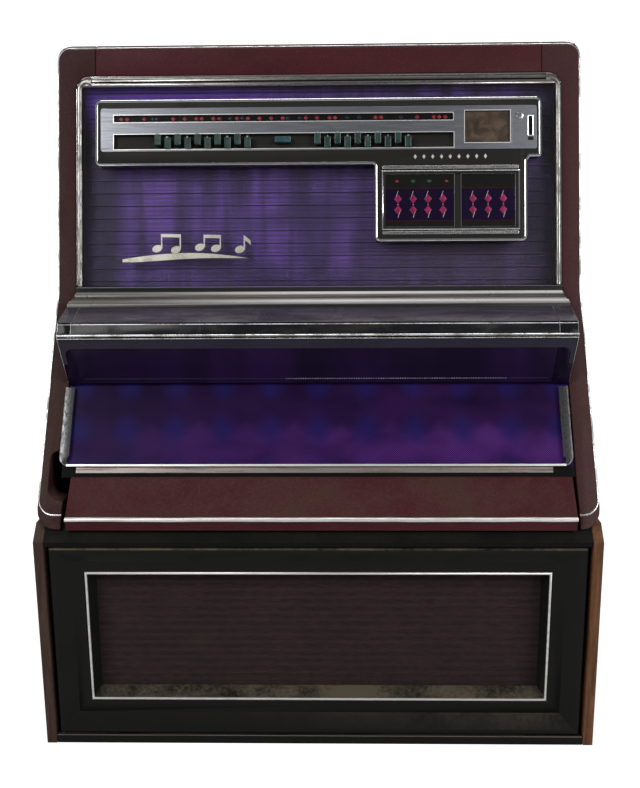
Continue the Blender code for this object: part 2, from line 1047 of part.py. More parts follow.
def make_control_fascia(upper):
    """Brushed plate over the housing, cut out round the keys, the windows and the button."""
    low = housing_front + seat_gap
    high = low + fascia_thickness
    points = [
        (fascia_left, fascia_foot),
        (coin_block_left - seat_gap, fascia_foot),
        (coin_block_left - seat_gap, fascia_top),
        (fascia_left, fascia_top),
    ]
    outline = rounded(points, [housing_corner / 2, 0, 0, housing_corner / 2], 3)
    fascia = prism("control_fascia", outline, -high, -low, "y", brushed_steel(), upper)
    through = (low - overrun, high + overrun)
    cutters = [
        proud_box("key opening", key_slot, through, key_slot_height(), upper),
        proud_box("legend opening", legend_slot, through, legend_height, upper),
        proud_box("price opening", price_window, through, price_height, upper),
        button_cutter("button opening", high + overrun, upper),
    ]
    for cutter in cutters:
        combine(fascia, cutter, "DIFFERENCE")


coin_slot_from_side = 0.0199
coin_slot_middle = housing_half_width - coin_slot_from_side
coin_slot_width = 0.0052
coin_slot_drops = (0.0723, 0.0393)
coin_slot_height = below_top(coin_slot_drops)
coin_slot_depth = 0.016


def make_coin_block(upper):
    """Right end of the control housing, with the upright coin slot let into it."""
    points = [
        (coin_block_left, step_outer),
        (housing_half_width, step_outer),
        (housing_half_width, housing_top),
        (coin_block_left, housing_top),
    ]
    outline = rounded(points, [0, housing_corner / 2, housing_corner, 0], face_steps)
    front = housing_front + seat_gap + fascia_thickness
    block = prism("coin_block", outline, -front, housing_back, "y", brushed_steel(), upper)
    half = coin_slot_width / 2
    slot = proud_box(
        "coin slot",
        (coin_slot_middle - half, coin_slot_middle + half),
        (front - coin_slot_depth, front + overrun),
        coin_slot_height,
        upper,
    )
    combine(block, slot, "DIFFERENCE")


def make_credit_display(upper):
    """Dark plate behind the two credit windows."""
    floor = housing_front - display_pocket_depth + seat_gap
    low_x, high_x = display_window
    box(
        "credit_display",
        (low_x + seat_gap, high_x - seat_gap),
        (-floor - display_plate, -floor),
        (display_height[0] + seat_gap, display_height[1] - seat_gap),
        smoked_plastic(),
        upper,
    )


def stemmed_key_mesh(name, width, height):
    """A key about its own middle: a bevelled cap, and a square stem behind it."""
    front = housing_front + seat_gap + fascia_thickness + key_proud
    half_x, half_z = width / 2, height / 2
    shape = bmesh.new()
    bmesh.ops.create_cube(shape, size=1)
    bmesh.ops.scale(shape, vec=(width, front - key_back, height), verts=shape.verts)
    bmesh.ops.translate(shape, vec=(0, -(front + key_back) / 2, 0), verts=shape.verts)
    back = max(shape.faces, key=lambda face: face.calc_center_median().y)
    bmesh.ops.inset_region(shape, faces=[back], thickness=(min(width, height) - stem_side) / 2)
    for vert in back.verts:
        vert.co.x = math.copysign(stem_side / 2, vert.co.x)
        vert.co.z = math.copysign(stem_side / 2, vert.co.z)
    grown = bmesh.ops.extrude_face_region(shape, geom=[back])["geom"]
    bmesh.ops.delete(shape, geom=[back], context="FACES_ONLY")
    moved = [item for item in grown if isinstance(item, bmesh.types.BMVert)]
    bmesh.ops.translate(shape, vec=(0, stem_length, 0), verts=moved)
    cap_edges = []
    for edge in shape.edges:
        ends = [vert.co for vert in edge.verts]
        off_side = max(abs(abs(end.x) - half_x) for end in ends)
        off_top = max(abs(abs(end.z) - half_z) for end in ends)
        on_rim = max(off_side, off_top) < seat_gap
        on_front = all(end.y < -front + seat_gap for end in ends)
        if on_rim and (on_front or abs(ends[0].y - ends[1].y) > seat_gap):
            cap_edges.append(edge)
        elif on_front:
            cap_edges.append(edge)
    bmesh.ops.bevel(shape, geom=cap_edges, offset=key_bevel, segments=2, profile=0.5, affect="EDGES")
    return to_mesh(shape, name)


def make_keys(upper):
    mesh = stemmed_key_mesh("selector key", key_width, key_height)
    for name, middle_x, foot in key_places():
        make_object(name, mesh, green_key_plastic(), upper, (middle_x, 0, foot + key_height / 2))
    reset = stemmed_key_mesh("reset key", reset_width, reset_height)
    make_object("reset_key", reset, teal_key_plastic(), upper, (reset_middle[0], 0, reset_middle[1]))


def make_reject_button(upper):
    """Round sprung button with a domed face, in its own bore."""
    front = housing_front + seat_gap + fascia_thickness + button_proud
    back = key_slot_floor + key_travel / 2
    edge = button_radius * button_face_share
    side = button_radius
    profile = [(0, back), (side, back), (side, front - key_bevel), (edge, front), (0, front)]
    mesh = turned_mesh("reject button", profile, button_sides)
    rotation = (math.pi / 2, 0, 0)
    place = (button_middle[0], 0, button_middle[1])
    make_object("reject_button", mesh, chrome(), upper, place, rotation)


# Grille door

door_depth = 0.046
door_side_margin = 0.059
door_top_margin = 0.050
door_foot_margin = 0.062
reveal_width = 0.015
reveal_depth = 0.029
rim_share = (0.0, 0.05, 0.16, 0.60, 1.0)
rim_fall_share = (0.21, 0.0, 0.0, 1.0, 1.0)
rim_fall = 0.014
panel_overlap = 0.010
panel_thickness = 0.012


def make_door_pivot():
    return make_empty("door pivot", (*door_axis, 0))


def door_ring(share, extra, depth):
    """The four corners of one line of the door's frame, this share of its margins in from the edge."""
    side = door_half_width - door_side_margin * share - extra
    low = door_bottom + door_foot_margin * share + extra
    high = door_top - door_top_margin * share - extra
    y = behind_front(depth)
    return [(-side, y, low), (side, y, low), (side, y, high), (-side, y, high)]


def make_door_frame(door):
    """Mitred frame: raised rim, a slope in to a flat band, then a deep bevelled reveal."""
    shape = bmesh.new()
    rings = []
    for share, fall in zip(rim_share, rim_fall_share):
        rings.append(door_ring(share, 0, fall * rim_fall))
    rings.append(door_ring(1, reveal_width, rim_fall + reveal_depth))
    rings.append(door_ring(1, reveal_width, door_depth))
    rings.append(door_ring(0, 0, door_depth))
    rings = [[shape.verts.new(point) for point in ring] for ring in rings]
    for outer, inner in zip(rings, rings[1:] + rings[:1]):
        for corner in range(4):
            after = (corner + 1) % 4
            shape.faces.new((outer[corner], outer[after], inner[after], inner[corner]))
    frame = make_object("grille_door_frame", to_mesh(shape, "grille door frame"), black_paint())
    keep_place(frame, door)


cloth_rib_pitch = 0.0155
cloth_rib_depth = 0.0012


def grille_panel_range():
    low = door_bottom + door_foot_margin + reveal_width - panel_overlap
    high = door_top - door_top_margin - reveal_width + panel_overlap
    return low, high


def make_grille_panel(door):
    """Cloth-covered board behind the frame, its face drawn into shallow level ribs."""
    low, high = grille_panel_range()
    half = door_half_width - door_side_margin - reveal_width + panel_overlap
    front = behind_front(door_depth) + seat_gap
    ribs = round((high - low - 2 * panel_overlap) / cloth_rib_pitch)
    pitch = (high - low - 2 * panel_overlap) / ribs
    outline = [(front + panel_thickness, low), (front + panel_thickness, high), (front, high)]
    for rib in range(ribs):
        top = high - panel_overlap - rib * pitch
        outline.append((front, top))
        outline.append((front + cloth_rib_depth, top - pitch / 2))
    outline.append((front, low + panel_overlap))
    outline.append((front, low))
    keep_place(prism("grille_panel", outline, -half, half, "x", grille_cloth()), door)


woofer_radius = 0.127
woofer_flange = 0.005
woofer_middle_x = 0.235
basket_radius = 0.112
magnet_radius = 0.052
basket_depth = 0.052
woofer_depth = 0.078
cone_depth = 0.030
basket_shoulder = 0.010
basket_neck_share = 1.1
dust_cap_radius = 0.030


def make_woofers(door):
    low, high = grille_panel_range()
    profile = [
        (0, cone_depth),
        (dust_cap_radius, cone_depth),
        (basket_radius, woofer_flange),
        (basket_radius, 0),
        (woofer_radius, 0),
        (woofer_radius, woofer_flange),
        (basket_radius + woofer_flange, basket_shoulder),
        (magnet_radius * basket_neck_share, basket_depth),
        (magnet_radius, basket_depth),
        (magnet_radius, woofer_depth),
        (0, woofer_depth),
    ]
    mesh = turned_mesh("woofer", profile, 28)
    y = behind_front(door_depth) + seat_gap + panel_thickness + seat_gap
    for name, side in (("woofer_left", -1), ("woofer_right", 1)):
        place = (side * woofer_middle_x, y, (low + high) / 2)
        speaker = make_object(name, mesh, grey_steel(), location=place, rotation=(-math.pi / 2, 0, 0))
        keep_place(speaker, door)


# Record mechanism on the shelf

mechanism_setback = 0.400
flange_radius = 0.090
flange_thickness = 0.012
bearing_radius = 0.045
column_radius = 0.030
carousel_base = 0.500
carousel_radius = 0.236
carousel_floor = 0.012
hub_radius = 0.050
hub_height = 0.100
record_radius = 0.0885
record_thickness = 0.0022
record_count = 24
record_inner = 0.056
record_sink = 0.003
deck_bottom = 0.715
deck_thickness = 0.008
deck_half_width = 0.170
deck_setback = (0.290, 0.560)
pillar_half_width = 0.014
pillar_setback = (0.520, 0.548)
arm_axis_setback = 0.534
arm_axis_height = 0.800
arm_hub_radius = 0.010


def mechanism_centre():
    return (0, behind_front(mechanism_setback))


def deck_top():
    return deck_bottom + deck_thickness


def make_mechanism_column():
    """Bolted flange, bearing and column, with the turntable's deck and the arm's pillar on top."""
    low = shoulder_height + seat_gap
    bearing_top = carousel_base - seat_gap
    profile = [
        (0, low),
        (flange_radius, low),
        (flange_radius, low + flange_thickness),
        (bearing_radius, low + flange_thickness),
        (bearing_radius, bearing_top),
        (column_radius, bearing_top),
        (column_radius, deck_bottom + deck_thickness / 2),
        (0, deck_bottom + deck_thickness / 2),
    ]
    mesh = turned_mesh("mechanism column", profile, 24)
    column = make_object("mechanism_column", mesh, grey_steel(), location=(*mechanism_centre(), 0))
    deck = box(
        "deck",
        (-deck_half_width, deck_half_width),
        [behind_front(setback) for setback in deck_setback],
        (deck_bottom, deck_top()),
        None,
    )
    pillar = box(
        "arm pillar",
        (-pillar_half_width, pillar_half_width),
        [behind_front(setback) for setback in pillar_setback],
        (deck_top() - deck_thickness / 2, arm_axis_height - arm_hub_radius - seat_gap),
        None,
    )
    combine(column, deck, "UNION")
    combine(column, pillar, "UNION")


def disc_into(shape, middle, radius, thickness, angle, sides):
    """Adds an upright disc whose face looks along the tangent of a circle round Z."""
    across = Vector((math.cos(angle), math.sin(angle), 0))
    facing = Vector((-math.sin(angle), math.cos(angle), 0))
    rings = []
    for side in (-1, 1):
        ring = []
        for step in range(sides):
            turn = math.tau * (step + 0.5) / sides
            reach = across * (radius * math.cos(turn)) + Vector((0, 0, radius * math.sin(turn)))
            ring.append(shape.verts.new(middle + reach + facing * (side * thickness / 2)))
        rings.append(ring)
    for step in range(sides):
        after = (step + 1) % sides
        shape.faces.new((rings[0][step], rings[0][after], rings[1][after], rings[1][step]))
    shape.faces.new(rings[0])
    shape.faces.new(list(reversed(rings[1])))


def make_record_carousel():
    """Turning magazine: a dished base and hub, with the records standing on edge all round."""
    bore = column_radius + running_gap
    profile = [
        (bore, carousel_base),
        (carousel_radius, carousel_base),
        (carousel_radius, carousel_base + carousel_floor),
        (hub_radius, carousel_base + carousel_floor),
        (hub_radius, carousel_base + hub_height),
        (bore, carousel_base + hub_height),
    ]
    mesh = turned_mesh("carousel base", profile, 32)
    carousel = make_object("record_carousel", mesh, black_plastic(), location=(*mechanism_centre(), 0))
    shape = bmesh.new()
    height = carousel_base + carousel_floor - record_sink + record_radius
    for index in range(record_count):
        angle = math.tau * index / record_count
        reach = record_inner + record_radius
        middle = Vector((reach * math.cos(angle), reach * math.sin(angle), height))
        disc_into(shape, middle, record_radius, record_thickness, angle, 16)
    records = make_object("records", to_mesh(shape, "records"), None, location=(*mechanism_centre(), 0))
    combine(carousel, records, "UNION")


platter_middle = (-0.050, 0.385)
platter_radius = 0.088
platter_bottom = 0.745
platter_thickness = 0.012
spindle_radius = 0.0036
spindle_top = 0.774
adapter_radius = 0.019
adapter_top = 0.7605
platter_stem = 0.008


def make_platter():
    top = platter_bottom + platter_thickness
    seat = deck_top() + seat_gap
    profile = [
        (0, seat),
        (platter_stem, seat),
        (platter_stem, platter_bottom),
        (platter_radius, platter_bottom),
        (platter_radius, top),
        (adapter_radius, top),
        (adapter_radius, adapter_top),
        (spindle_radius, adapter_top),
        (spindle_radius, spindle_top),
        (0, spindle_top),
    ]
    mesh = turned_mesh("turntable platter", profile, 32)
    place = (platter_middle[0], behind_front(platter_middle[1]), 0)
    make_object("turntable_platter", mesh, aluminium(), location=place)


tonearm_place = (0.115, 0.430)
tonearm_post = 0.010
tonearm_base_radius = 0.018
tonearm_base_height = 0.020
tonearm_height = 0.780
tonearm_length = 0.165
tonearm_tube = (0.006, 0.007)
headshell = (0.018, 0.030, 0.010)
counterweight = (0.022, 0.028, 0.022)
counterweight_reach = 0.048
counterweight_low_share = 0.25


def make_tonearm():
    """Upright pivot post with a level arm over it: headshell in front, weight behind."""
    seat = deck_top() + seat_gap
    profile = [
        (0, seat),
        (tonearm_base_radius, seat),
        (tonearm_base_radius, seat + tonearm_base_height),
        (tonearm_post, seat + tonearm_base_height),
        (tonearm_post, tonearm_height + tonearm_tube[1]),
        (0, tonearm_height + tonearm_tube[1]),
    ]
    mesh = turned_mesh("tonearm", profile, 16)
    place = (tonearm_place[0], behind_front(tonearm_place[1]), 0)
    arm = make_object("tonearm", mesh, aluminium(), location=place)
    half = tonearm_tube[0] / 2
    tube = box(
        "arm tube",
        (-half, half),
        (-tonearm_length, counterweight_reach),
        (tonearm_height, tonearm_height + tonearm_tube[1]),
        None,
    )
    shell = box(
        "headshell",
        (-headshell[0] / 2, headshell[0] / 2),
        (-tonearm_length - headshell[1] / 2, -tonearm_length + headshell[1] / 2),
        (tonearm_height - headshell[2] / 2, tonearm_height + headshell[2] / 2),
        None,
    )
    weight_low = tonearm_height - counterweight[2] * counterweight_low_share
    weight = box(
        "counterweight",
        (-counterweight[0] / 2, counterweight[0] / 2),
        (counterweight_reach - counterweight[1] / 2, counterweight_reach + counterweight[1] / 2),
        (weight_low, weight_low + counterweight[2]),
        None,
    )
    for piece in (tube, shell, weight):
        piece.location = place
        combine(arm, piece, "UNION")


arm_hub_half_length = 0.026
arm_bar = (0.012, 0.010)
arm_reach = 0.086
claw_drop = 0.026
claw_thickness = 0.008
claw_half_width = 0.020


def make_transfer_arm():
    """Lifting arm on a level pin: hub, bar and a claw that hangs over the magazine's rim."""
    half = arm_hub_half_length
    profile = [(0, -half), (arm_hub_radius, -half), (arm_hub_radius, half), (0, half)]
    place = (0, behind_front(arm_axis_setback), arm_axis_height)
    hub = make_object(
        "transfer_arm",
        turned_mesh("transfer arm", profile, 16),
        aluminium(),
        location=place,
        rotation=(0, math.pi / 2, 0),
    )
    half_width, half_height = arm_bar[0] / 2, arm_bar[1] / 2
    bar = box("arm bar", (-half_width, half_width), (0, arm_reach), (-half_height, half_height), None)
    claw = box(
        "claw",
        (-claw_half_width, claw_half_width),
        (arm_reach - claw_thickness, arm_reach),
        (-claw_drop, half_height),
        None,
    )
    for piece in (bar, claw):
        piece.location = place
        combine(hub, piece, "UNION")


# Pieces in the cabinet's foot and on its right side

amplifier_side_gap = 0.0687
amplifier_width = 0.340
amplifier_left = -board_half_width + amplifier_side_gap
amplifier_x = (amplifier_left, amplifier_left + amplifier_width)
amplifier_setback = (0.340, 0.600)
amplifier_height = 0.065
transformer_side = 0.085
transformer_height = 0.095
transformer_shares = ((0.18, 0.30), (0.18, 0.74), (0.62, 0.30))
valve_radius = 0.017
valve_height = 0.070
valve_shares = ((0.45, 0.74), (0.62, 0.74), (0.79, 0.74))


def make_amplifier():
    """Steel chassis with three transformers and three round capacitors standing on it."""
    low = floor_top + seat_gap
    y_range = [behind_front(setback) for setback in amplifier_setback]
    top = low + amplifier_height
    chassis = box("amplifier", amplifier_x, y_range, (low, top), grey_steel())
    depth = y_range[1] - y_range[0]
    half = transformer_side / 2
    for share_x, share_y in transformer_shares:
        x = amplifier_left + amplifier_width * share_x
        y = y_range[0] + depth * share_y
        heights = (top - overrun, top + transformer_height)
        transformer = box("transformer", (x - half, x + half), (y - half, y + half), heights, None)
        combine(chassis, transformer, "UNION")
    foot = top - overrun
    head = top + valve_height
    mesh = turned_mesh("capacitor", [(0, foot), (valve_radius, foot), (valve_radius, head), (0, head)], 12)
    for share_x, share_y in valve_shares:
        place = (amplifier_left + amplifier_width * share_x, y_range[0] + depth * share_y, 0)
        combine(chassis, make_object("capacitor", mesh, None, location=place), "UNION")


cash_side_gap = 0.0987
cash_width = 0.270
cash_right = board_half_width - cash_side_gap
cash_x = (cash_right - cash_width, cash_right)
cash_setback = (0.360, 0.610)
cash_height = 0.130
cash_wall = 0.003
cash_floor = 0.003


def make_cash_box():
    """Open-topped money box standing on the cabinet's floor."""
    low = floor_top + seat_gap
    y_range = [behind_front(setback) for setback in cash_setback]
    cash = box("cash_box", cash_x, y_range, (low, low + cash_height), grey_steel())
    hollow = box(
        "cash hollow",
        (cash_x[0] + cash_wall, cash_x[1] - cash_wall),
        (y_range[0] + cash_wall, y_range[1] - cash_wall),
        (low + cash_floor, low + cash_height + overrun),
        None,
    )
    combine(cash, hollow, "DIFFERENCE")


acceptor_width = 0.070
acceptor_setback = (0.300, 0.420)
acceptor_height = (0.520, 0.720)
acceptor_slope_share = 0.35


def make_coin_acceptor():
    """Coin tester screwed to the right side board, its top sloping down to take the coin."""
    front, rear = [behind_front(setback) for setback in acceptor_setback]
    low, high = acceptor_height
    slope = (high - low) * acceptor_slope_share
    outline = [(front, low), (rear, low), (rear, high), ((front + rear) / 2, high), (front, high - slope)]
    prism("coin_acceptor", outline, board_half_width - acceptor_width, board_half_width, "x", grey_steel())


# Assembly


def build_cabinet():
    make_side_boards()
    make_plinth()
    make_base_top_rail()
    make_floor_board()
    make_mechanism_shelf()
    make_back_panel()
    make_lid_hinge()


def build_lid():
    lid = make_lid_pivot()
    knee = (0, behind_front(knee_setback), knee_height)
    upper = make_empty("upper face", knee, (-upper_lean, 0, 0), lid)
    lower = make_empty("lower face", knee, (-lower_lean, 0, 0), lid)
    make_roof(lid)
    make_side_casting("side_casting_left", -1, lid)
    make_side_casting("side_casting_right", 1, lid)
    make_top_rail(upper)
    make_bottom_rail(lid)
    make_bezel_top(upper)
    make_title_panel(upper)
    make_title_glass(upper)
    make_ledge_extrusion(lid)
    make_ledge_shelf(lid)
    make_ledge_end("ledge_end_left", -opening_half_width, ledge_joint_left, lid)
    make_ledge_end("ledge_end_right", ledge_joint_right, opening_half_width, lid)
    make_visor_glass(lid)
    make_display_panel(lower)
    make_control_housing(upper)
    make_control_fascia(upper)
    make_coin_block(upper)
    make_credit_display(upper)
    make_keys(upper)
    make_reject_button(upper)


def build_door():
    door = make_door_pivot()
    make_door_frame(door)
    make_grille_panel(door)
    make_woofers(door)


def build_mechanism():
    make_mechanism_column()
    make_record_carousel()
    make_platter()
    make_tonearm()
    make_transfer_arm()
    make_amplifier()
    make_cash_box()
    make_coin_acceptor()


clear_scene()
build_cabinet()
build_lid()
build_door()
build_mechanism()
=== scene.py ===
import math

import bmesh
import bpy
from mathutils import Matrix, Vector, noise


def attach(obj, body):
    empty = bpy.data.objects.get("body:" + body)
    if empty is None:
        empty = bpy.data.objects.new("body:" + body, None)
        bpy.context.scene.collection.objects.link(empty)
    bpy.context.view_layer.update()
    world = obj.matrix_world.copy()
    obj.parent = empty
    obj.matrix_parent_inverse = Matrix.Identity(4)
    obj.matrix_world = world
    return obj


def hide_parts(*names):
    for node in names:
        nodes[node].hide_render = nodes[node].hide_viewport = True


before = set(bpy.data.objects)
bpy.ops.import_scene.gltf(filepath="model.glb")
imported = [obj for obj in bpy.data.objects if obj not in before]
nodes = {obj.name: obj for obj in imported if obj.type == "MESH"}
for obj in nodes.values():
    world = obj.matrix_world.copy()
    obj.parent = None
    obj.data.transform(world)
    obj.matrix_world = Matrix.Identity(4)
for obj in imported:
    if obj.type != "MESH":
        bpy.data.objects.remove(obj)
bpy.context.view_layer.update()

# The two sloping faces of the front, as the cabinet has them: metres and degrees
front = {
    "kneeY": -0.072,
    "kneeZ": 0.830,
    "upperLean": 13.0,
    "lowerLean": 31.6,
    "frontY": -0.330,
    "frameTop": 1.299,
    "roofTop": 1.307,
    "noseDepth": 0.008,
    "halfWidth": 0.515,
    "openingHalf": 0.477,
    "visorTop": (-0.2320, 0.7643),
    "visorFoot": (-0.1729, 0.666),
}
kneePoint = Vector((0, front["kneeY"], front["kneeZ"]))
upperLean = math.radians(front["upperLean"])
lowerLean = math.radians(front["lowerLean"])
upperFace = Matrix.Translation(kneePoint) @ Matrix.Rotation(-upperLean, 4, "X")
lowerFace = Matrix.Translation(kneePoint) @ Matrix.Rotation(-lowerLean, 4, "X")


def onUpper(x, along, proud):  # metres up from the knee, and out from the upper face
    return upperFace @ Vector((x, -proud, along))


def onLower(x, along, proud):  # along is negative below the knee
    return lowerFace @ Vector((x, -proud, along))


def onDoor(x, height, proud):
    return Vector((x, front["frontY"] - proud, height))


def onFrame(x, height, proud):  # the whole frame's face, from the bottom lip to the roof's nose
    if height < front["kneeZ"]:
        lean = lowerLean
        y = front["kneeY"] + (height - front["kneeZ"]) * math.tan(lean)
    else:
        lean = upperLean
        y = front["kneeY"] + (min(height, front["frameTop"]) - front["kneeZ"]) * math.tan(lean)
    rise = max(0, height - front["frameTop"]) / (front["roofTop"] - front["frameTop"])
    y += rise * front["noseDepth"]
    lean += rise * math.radians(40)
    return Vector((x, y - proud * math.cos(lean), height + proud * math.sin(lean)))


# Mesh helpers


def finishMesh(shape, name, smoothAngle=35):
    bmesh.ops.recalc_face_normals(shape, faces=shape.faces)
    mesh = bpy.data.meshes.new(name)
    shape.to_mesh(mesh)
    shape.free()
    mesh.shade_smooth()
    mesh.set_sharp_from_angle(angle=math.radians(smoothAngle))
    return mesh


def addPiece(name, mesh, material, body):
    piece = bpy.data.objects.new(name, mesh)
    bpy.context.scene.collection.objects.link(piece)
    mesh.materials.clear()
    mesh.materials.append(material)
    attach(piece, body)
    return piece


def softEdges(piece, width, segments=2, angle=32):
    bevel = piece.modifiers.new("soft edges", "BEVEL")
    bevel.width = width
    bevel.segments = segments
    bevel.limit_method = "ANGLE"
    bevel.angle_limit = math.radians(angle)
    bevel.harden_normals = True
    bevel.use_clamp_overlap = True
    return piece


def offsetLine(points, distance, closed=True, shares=None):
    # the outline moved to its left by the distance, with mitred corners
    moved = []
    count = len(points)
    for index, point in enumerate(points):
        here = Vector(point)
        before = Vector(points[index - 1]) if closed or index else None
        after = Vector(points[(index + 1) % count]) if closed or index < count - 1 else None
        arriving = (here - before).normalized() if before else (after - here).normalized()
        leaving = (after - here).normalized() if after else arriving
        along = (arriving + leaving).normalized()
        stretch = 1 / max(0.35, along.dot(leaving))
        left = Vector((-along.y, along.x))
        share = shares[index] if shares else 1
        moved.append(here + left * (distance * share * stretch))
    return moved


def roundCorners(points, radii, steps=7):
    line = []
    for index, radius in enumerate(radii):
        corner = Vector(points[index])
        if not radius:
            line.append(corner)
            continue
        back = (Vector(points[index - 1]) - corner).normalized()
        ahead = (Vector(points[(index + 1) % len(points)]) - corner).normalized()
        half = back.angle(ahead) / 2
        middle = corner + (back + ahead).normalized() * (radius / math.sin(half))
        start = corner + back * (radius / math.tan(half)) - middle
        end = corner + ahead * (radius / math.tan(half)) - middle
        turn = start.angle(end)
        for step in range(steps + 1):
            share = step / steps
            arm = start * math.sin((1 - share) * turn) + end * math.sin(share * turn)
            line.append(middle + arm / math.sin(turn))
    return line


def rimMesh(name, points, profile, place, closed=True, shares=None):
    # a strip laid on a face: profile is a loop of (distance in from the outline, proud)
    shape = bmesh.new()
    rings = []
    for distance, proud in profile:
        line = offsetLine(points, distance, closed, shares)
        rings.append([shape.verts.new(place(point.x, point.y, proud)) for point in line])
    count = len(points)
    for ring, following in zip(rings, rings[1:] + rings[:1]):
        for index in range(count if closed else count - 1):
            after = (index + 1) % count
            shape.faces.new((ring[index], ring[after], following[after], following[index]))
    if not closed:
        shape.faces.new([ring[0] for ring in rings])
        shape.faces.new([ring[-1] for ring in reversed(rings)])
    return finishMesh(shape, name)


def addPrism(shape, low, top):
    # a closed body between two outlines with as many points, in a mesh that may hold several
    back = [shape.verts.new(point) for point in low]
    face = [shape.verts.new(point) for point in top]
    shape.faces.new(face)
    shape.faces.new(list(reversed(back)))
    for index in range(len(back)):
        after = (index + 1) % len(back)
        shape.faces.new((back[index], back[after], face[after], face[index]))


def addPlate(shape, outline, low, high, place):
    # a flat plate on a face, between two heights proud of it
    addPrism(shape, [place(x, y, low) for x, y in outline], [place(x, y, high) for x, y in outline])


def plateMesh(name, outline, low, high, place):
    shape = bmesh.new()
    addPlate(shape, outline, low, high, place)
    return finishMesh(shape, name)


def longMesh(name, section, low, high, cuts=1, wander=None):
    # a (y, z) section carried along X, with a small wander where it is given
    shape = bmesh.new()
    rings = []
    for cut in range(cuts + 1):
        x = low + (high - low) * cut / cuts
        shift = wander(x) if wander else Vector((0, 0, 0))
        rings.append([shape.verts.new(Vector((x, y, z)) + shift) for y, z in section])
    for ring, following in zip(rings, rings[1:]):
        for index in range(len(section)):
            after = (index + 1) % len(section)
            shape.faces.new((ring[index], ring[after], following[after], following[index]))
    shape.faces.new(rings[0])
    shape.faces.new(list(reversed(rings[-1])))
    return finishMesh(shape, name)


def rectangle(left, right, low, high):
    return [Vector((left, low)), Vector((right, low)), Vector((right, high)), Vector((left, high))]


def halfRound(width, height, base=0.0, steps=6):
    # a loop for rimMesh: flat on its back, rounded in front
    loop = []
    for step in range(steps + 1):
        turn = math.pi * step / steps
        loop.append((width * (1 - math.cos(turn)) / 2, base + height * math.sin(turn)))
    return loop


def addOnFace(name, outline, low, high, place, finish, body="lid"):
    # a plate on a face as a piece of its own
    return addPiece(name, plateMesh(name, outline, low, high, place), finish, body)


def addRim(name, points, profile, place, finish, slotName="chrome", body="lid", **options):
    # a strip that follows an outline, as a piece of its own
    return addPiece(name, rimMesh(name, points, profile, place, **options), finish, body)


def softCopy(node, material, body, width, segments=2):
    # the CAD piece again with its long edges rounded, which catch the light as real ones do
    mesh = nodes[node].data.copy()
    shape = bmesh.new()
    shape.from_mesh(mesh)
    bmesh.ops.remove_doubles(shape, verts=shape.verts, dist=0.00002)
    bmesh.ops.dissolve_limit(
        shape, angle_limit=math.radians(1), verts=shape.verts, edges=shape.edges
    )
    shape.to_mesh(mesh)
    shape.free()
    mesh.shade_smooth()
    piece = addPiece(node + "Soft", mesh, material, body)
    softEdges(piece, width, segments)
    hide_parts(node)
    return piece


def setFinish(nodeName, material):
    # the CAD piece shown as it is, with a finish of its own
    nodes[nodeName].data.materials.clear()
    nodes[nodeName].data.materials.append(material)


# Shader helpers: one short call for each node


def addNode(tree, kind, values=None, **settings):
    made = tree.nodes.new("ShaderNode" + kind)
    for name, value in settings.items():
        setattr(made, name, value)
    for socket, value in (values or {}).items():
        target = made.inputs[socket]
        if isinstance(value, bpy.types.NodeSocket):
            tree.links.new(value, target)
        else:
            target.default_value = value
    return made


def mathNode(tree, operation, first, second=0.0, clamp=False):
    made = addNode(tree, "Math", {0: first, 1: second}, operation=operation, use_clamp=clamp)
    return made.outputs[0]


def product(tree, first, second, clamp=False):
    return mathNode(tree, "MULTIPLY", first, second, clamp)


def distanceTo(tree, value, centre):
    return mathNode(tree, "ABSOLUTE", mathNode(tree, "SUBTRACT", value, centre))


def mixColour(tree, factor, first, second, blend="MIX"):
    made = addNode(tree, "Mix", {0: factor, 6: first, 7: second}, data_type="RGBA", blend_type=blend)
    return made.outputs[2]


def ramp(tree, value, low, high):
    made = addNode(tree, "MapRange", {0: value, 1: low, 2: high}, interpolation_type="SMOOTHSTEP")
    return made.outputs[0]


def objectPlace(tree):
    return addNode(tree, "TexCoord").outputs["Object"]


def facing(tree):
    return addNode(tree, "SeparateXYZ", {0: addNode(tree, "NewGeometry").outputs["Normal"]}).outputs["Z"]


def stretched(tree, vector, factors):
    return addNode(tree, "VectorMath", {0: vector, 1: factors}, operation="MULTIPLY").outputs[0]


def cloudNoise(tree, vector, scale, detail, **more):
    # more: the noise's other sockets, such as Roughness and Distortion
    values = {"Vector": vector, "Scale": scale, "Detail": detail, **more}
    return addNode(tree, "TexNoise", values).outputs["Fac"]


def bandMask(tree, value, low, high, soft=0.0012):
    # 1 between the two values
    above = ramp(tree, value, low - soft, low + soft)
    return product(tree, above, ramp(tree, value, high + soft, high - soft))


def stripeMask(tree, value, pitch, start, width, soft=0.0006):
    # 1 on a line of this width that repeats at the pitch
    shifted = mathNode(tree, "SUBTRACT", value, start)
    phase = product(tree, mathNode(tree, "FRACT", mathNode(tree, "DIVIDE", shifted, pitch)), pitch)
    nearest = mathNode(tree, "MINIMUM", phase, mathNode(tree, "SUBTRACT", pitch, phase))
    return ramp(tree, nearest, width / 2 + soft, width / 2 - soft)


def facePlace(tree, matrix):
    # object coordinates turned into the face's own: X, height, and all three together
    moved = addNode(
        tree, "VectorMath", {0: objectPlace(tree), 1: tuple(matrix.translation)}, operation="SUBTRACT"
    ).outputs[0]
    lean = matrix.to_euler().x
    turned = addNode(
        tree, "VectorRotate", {"Vector": moved, "Angle": -lean}, rotation_type="X_AXIS"
    ).outputs[0]
    parts = addNode(tree, "SeparateXYZ", {0: turned})
    return parts.outputs["X"], parts.outputs["Z"], turned


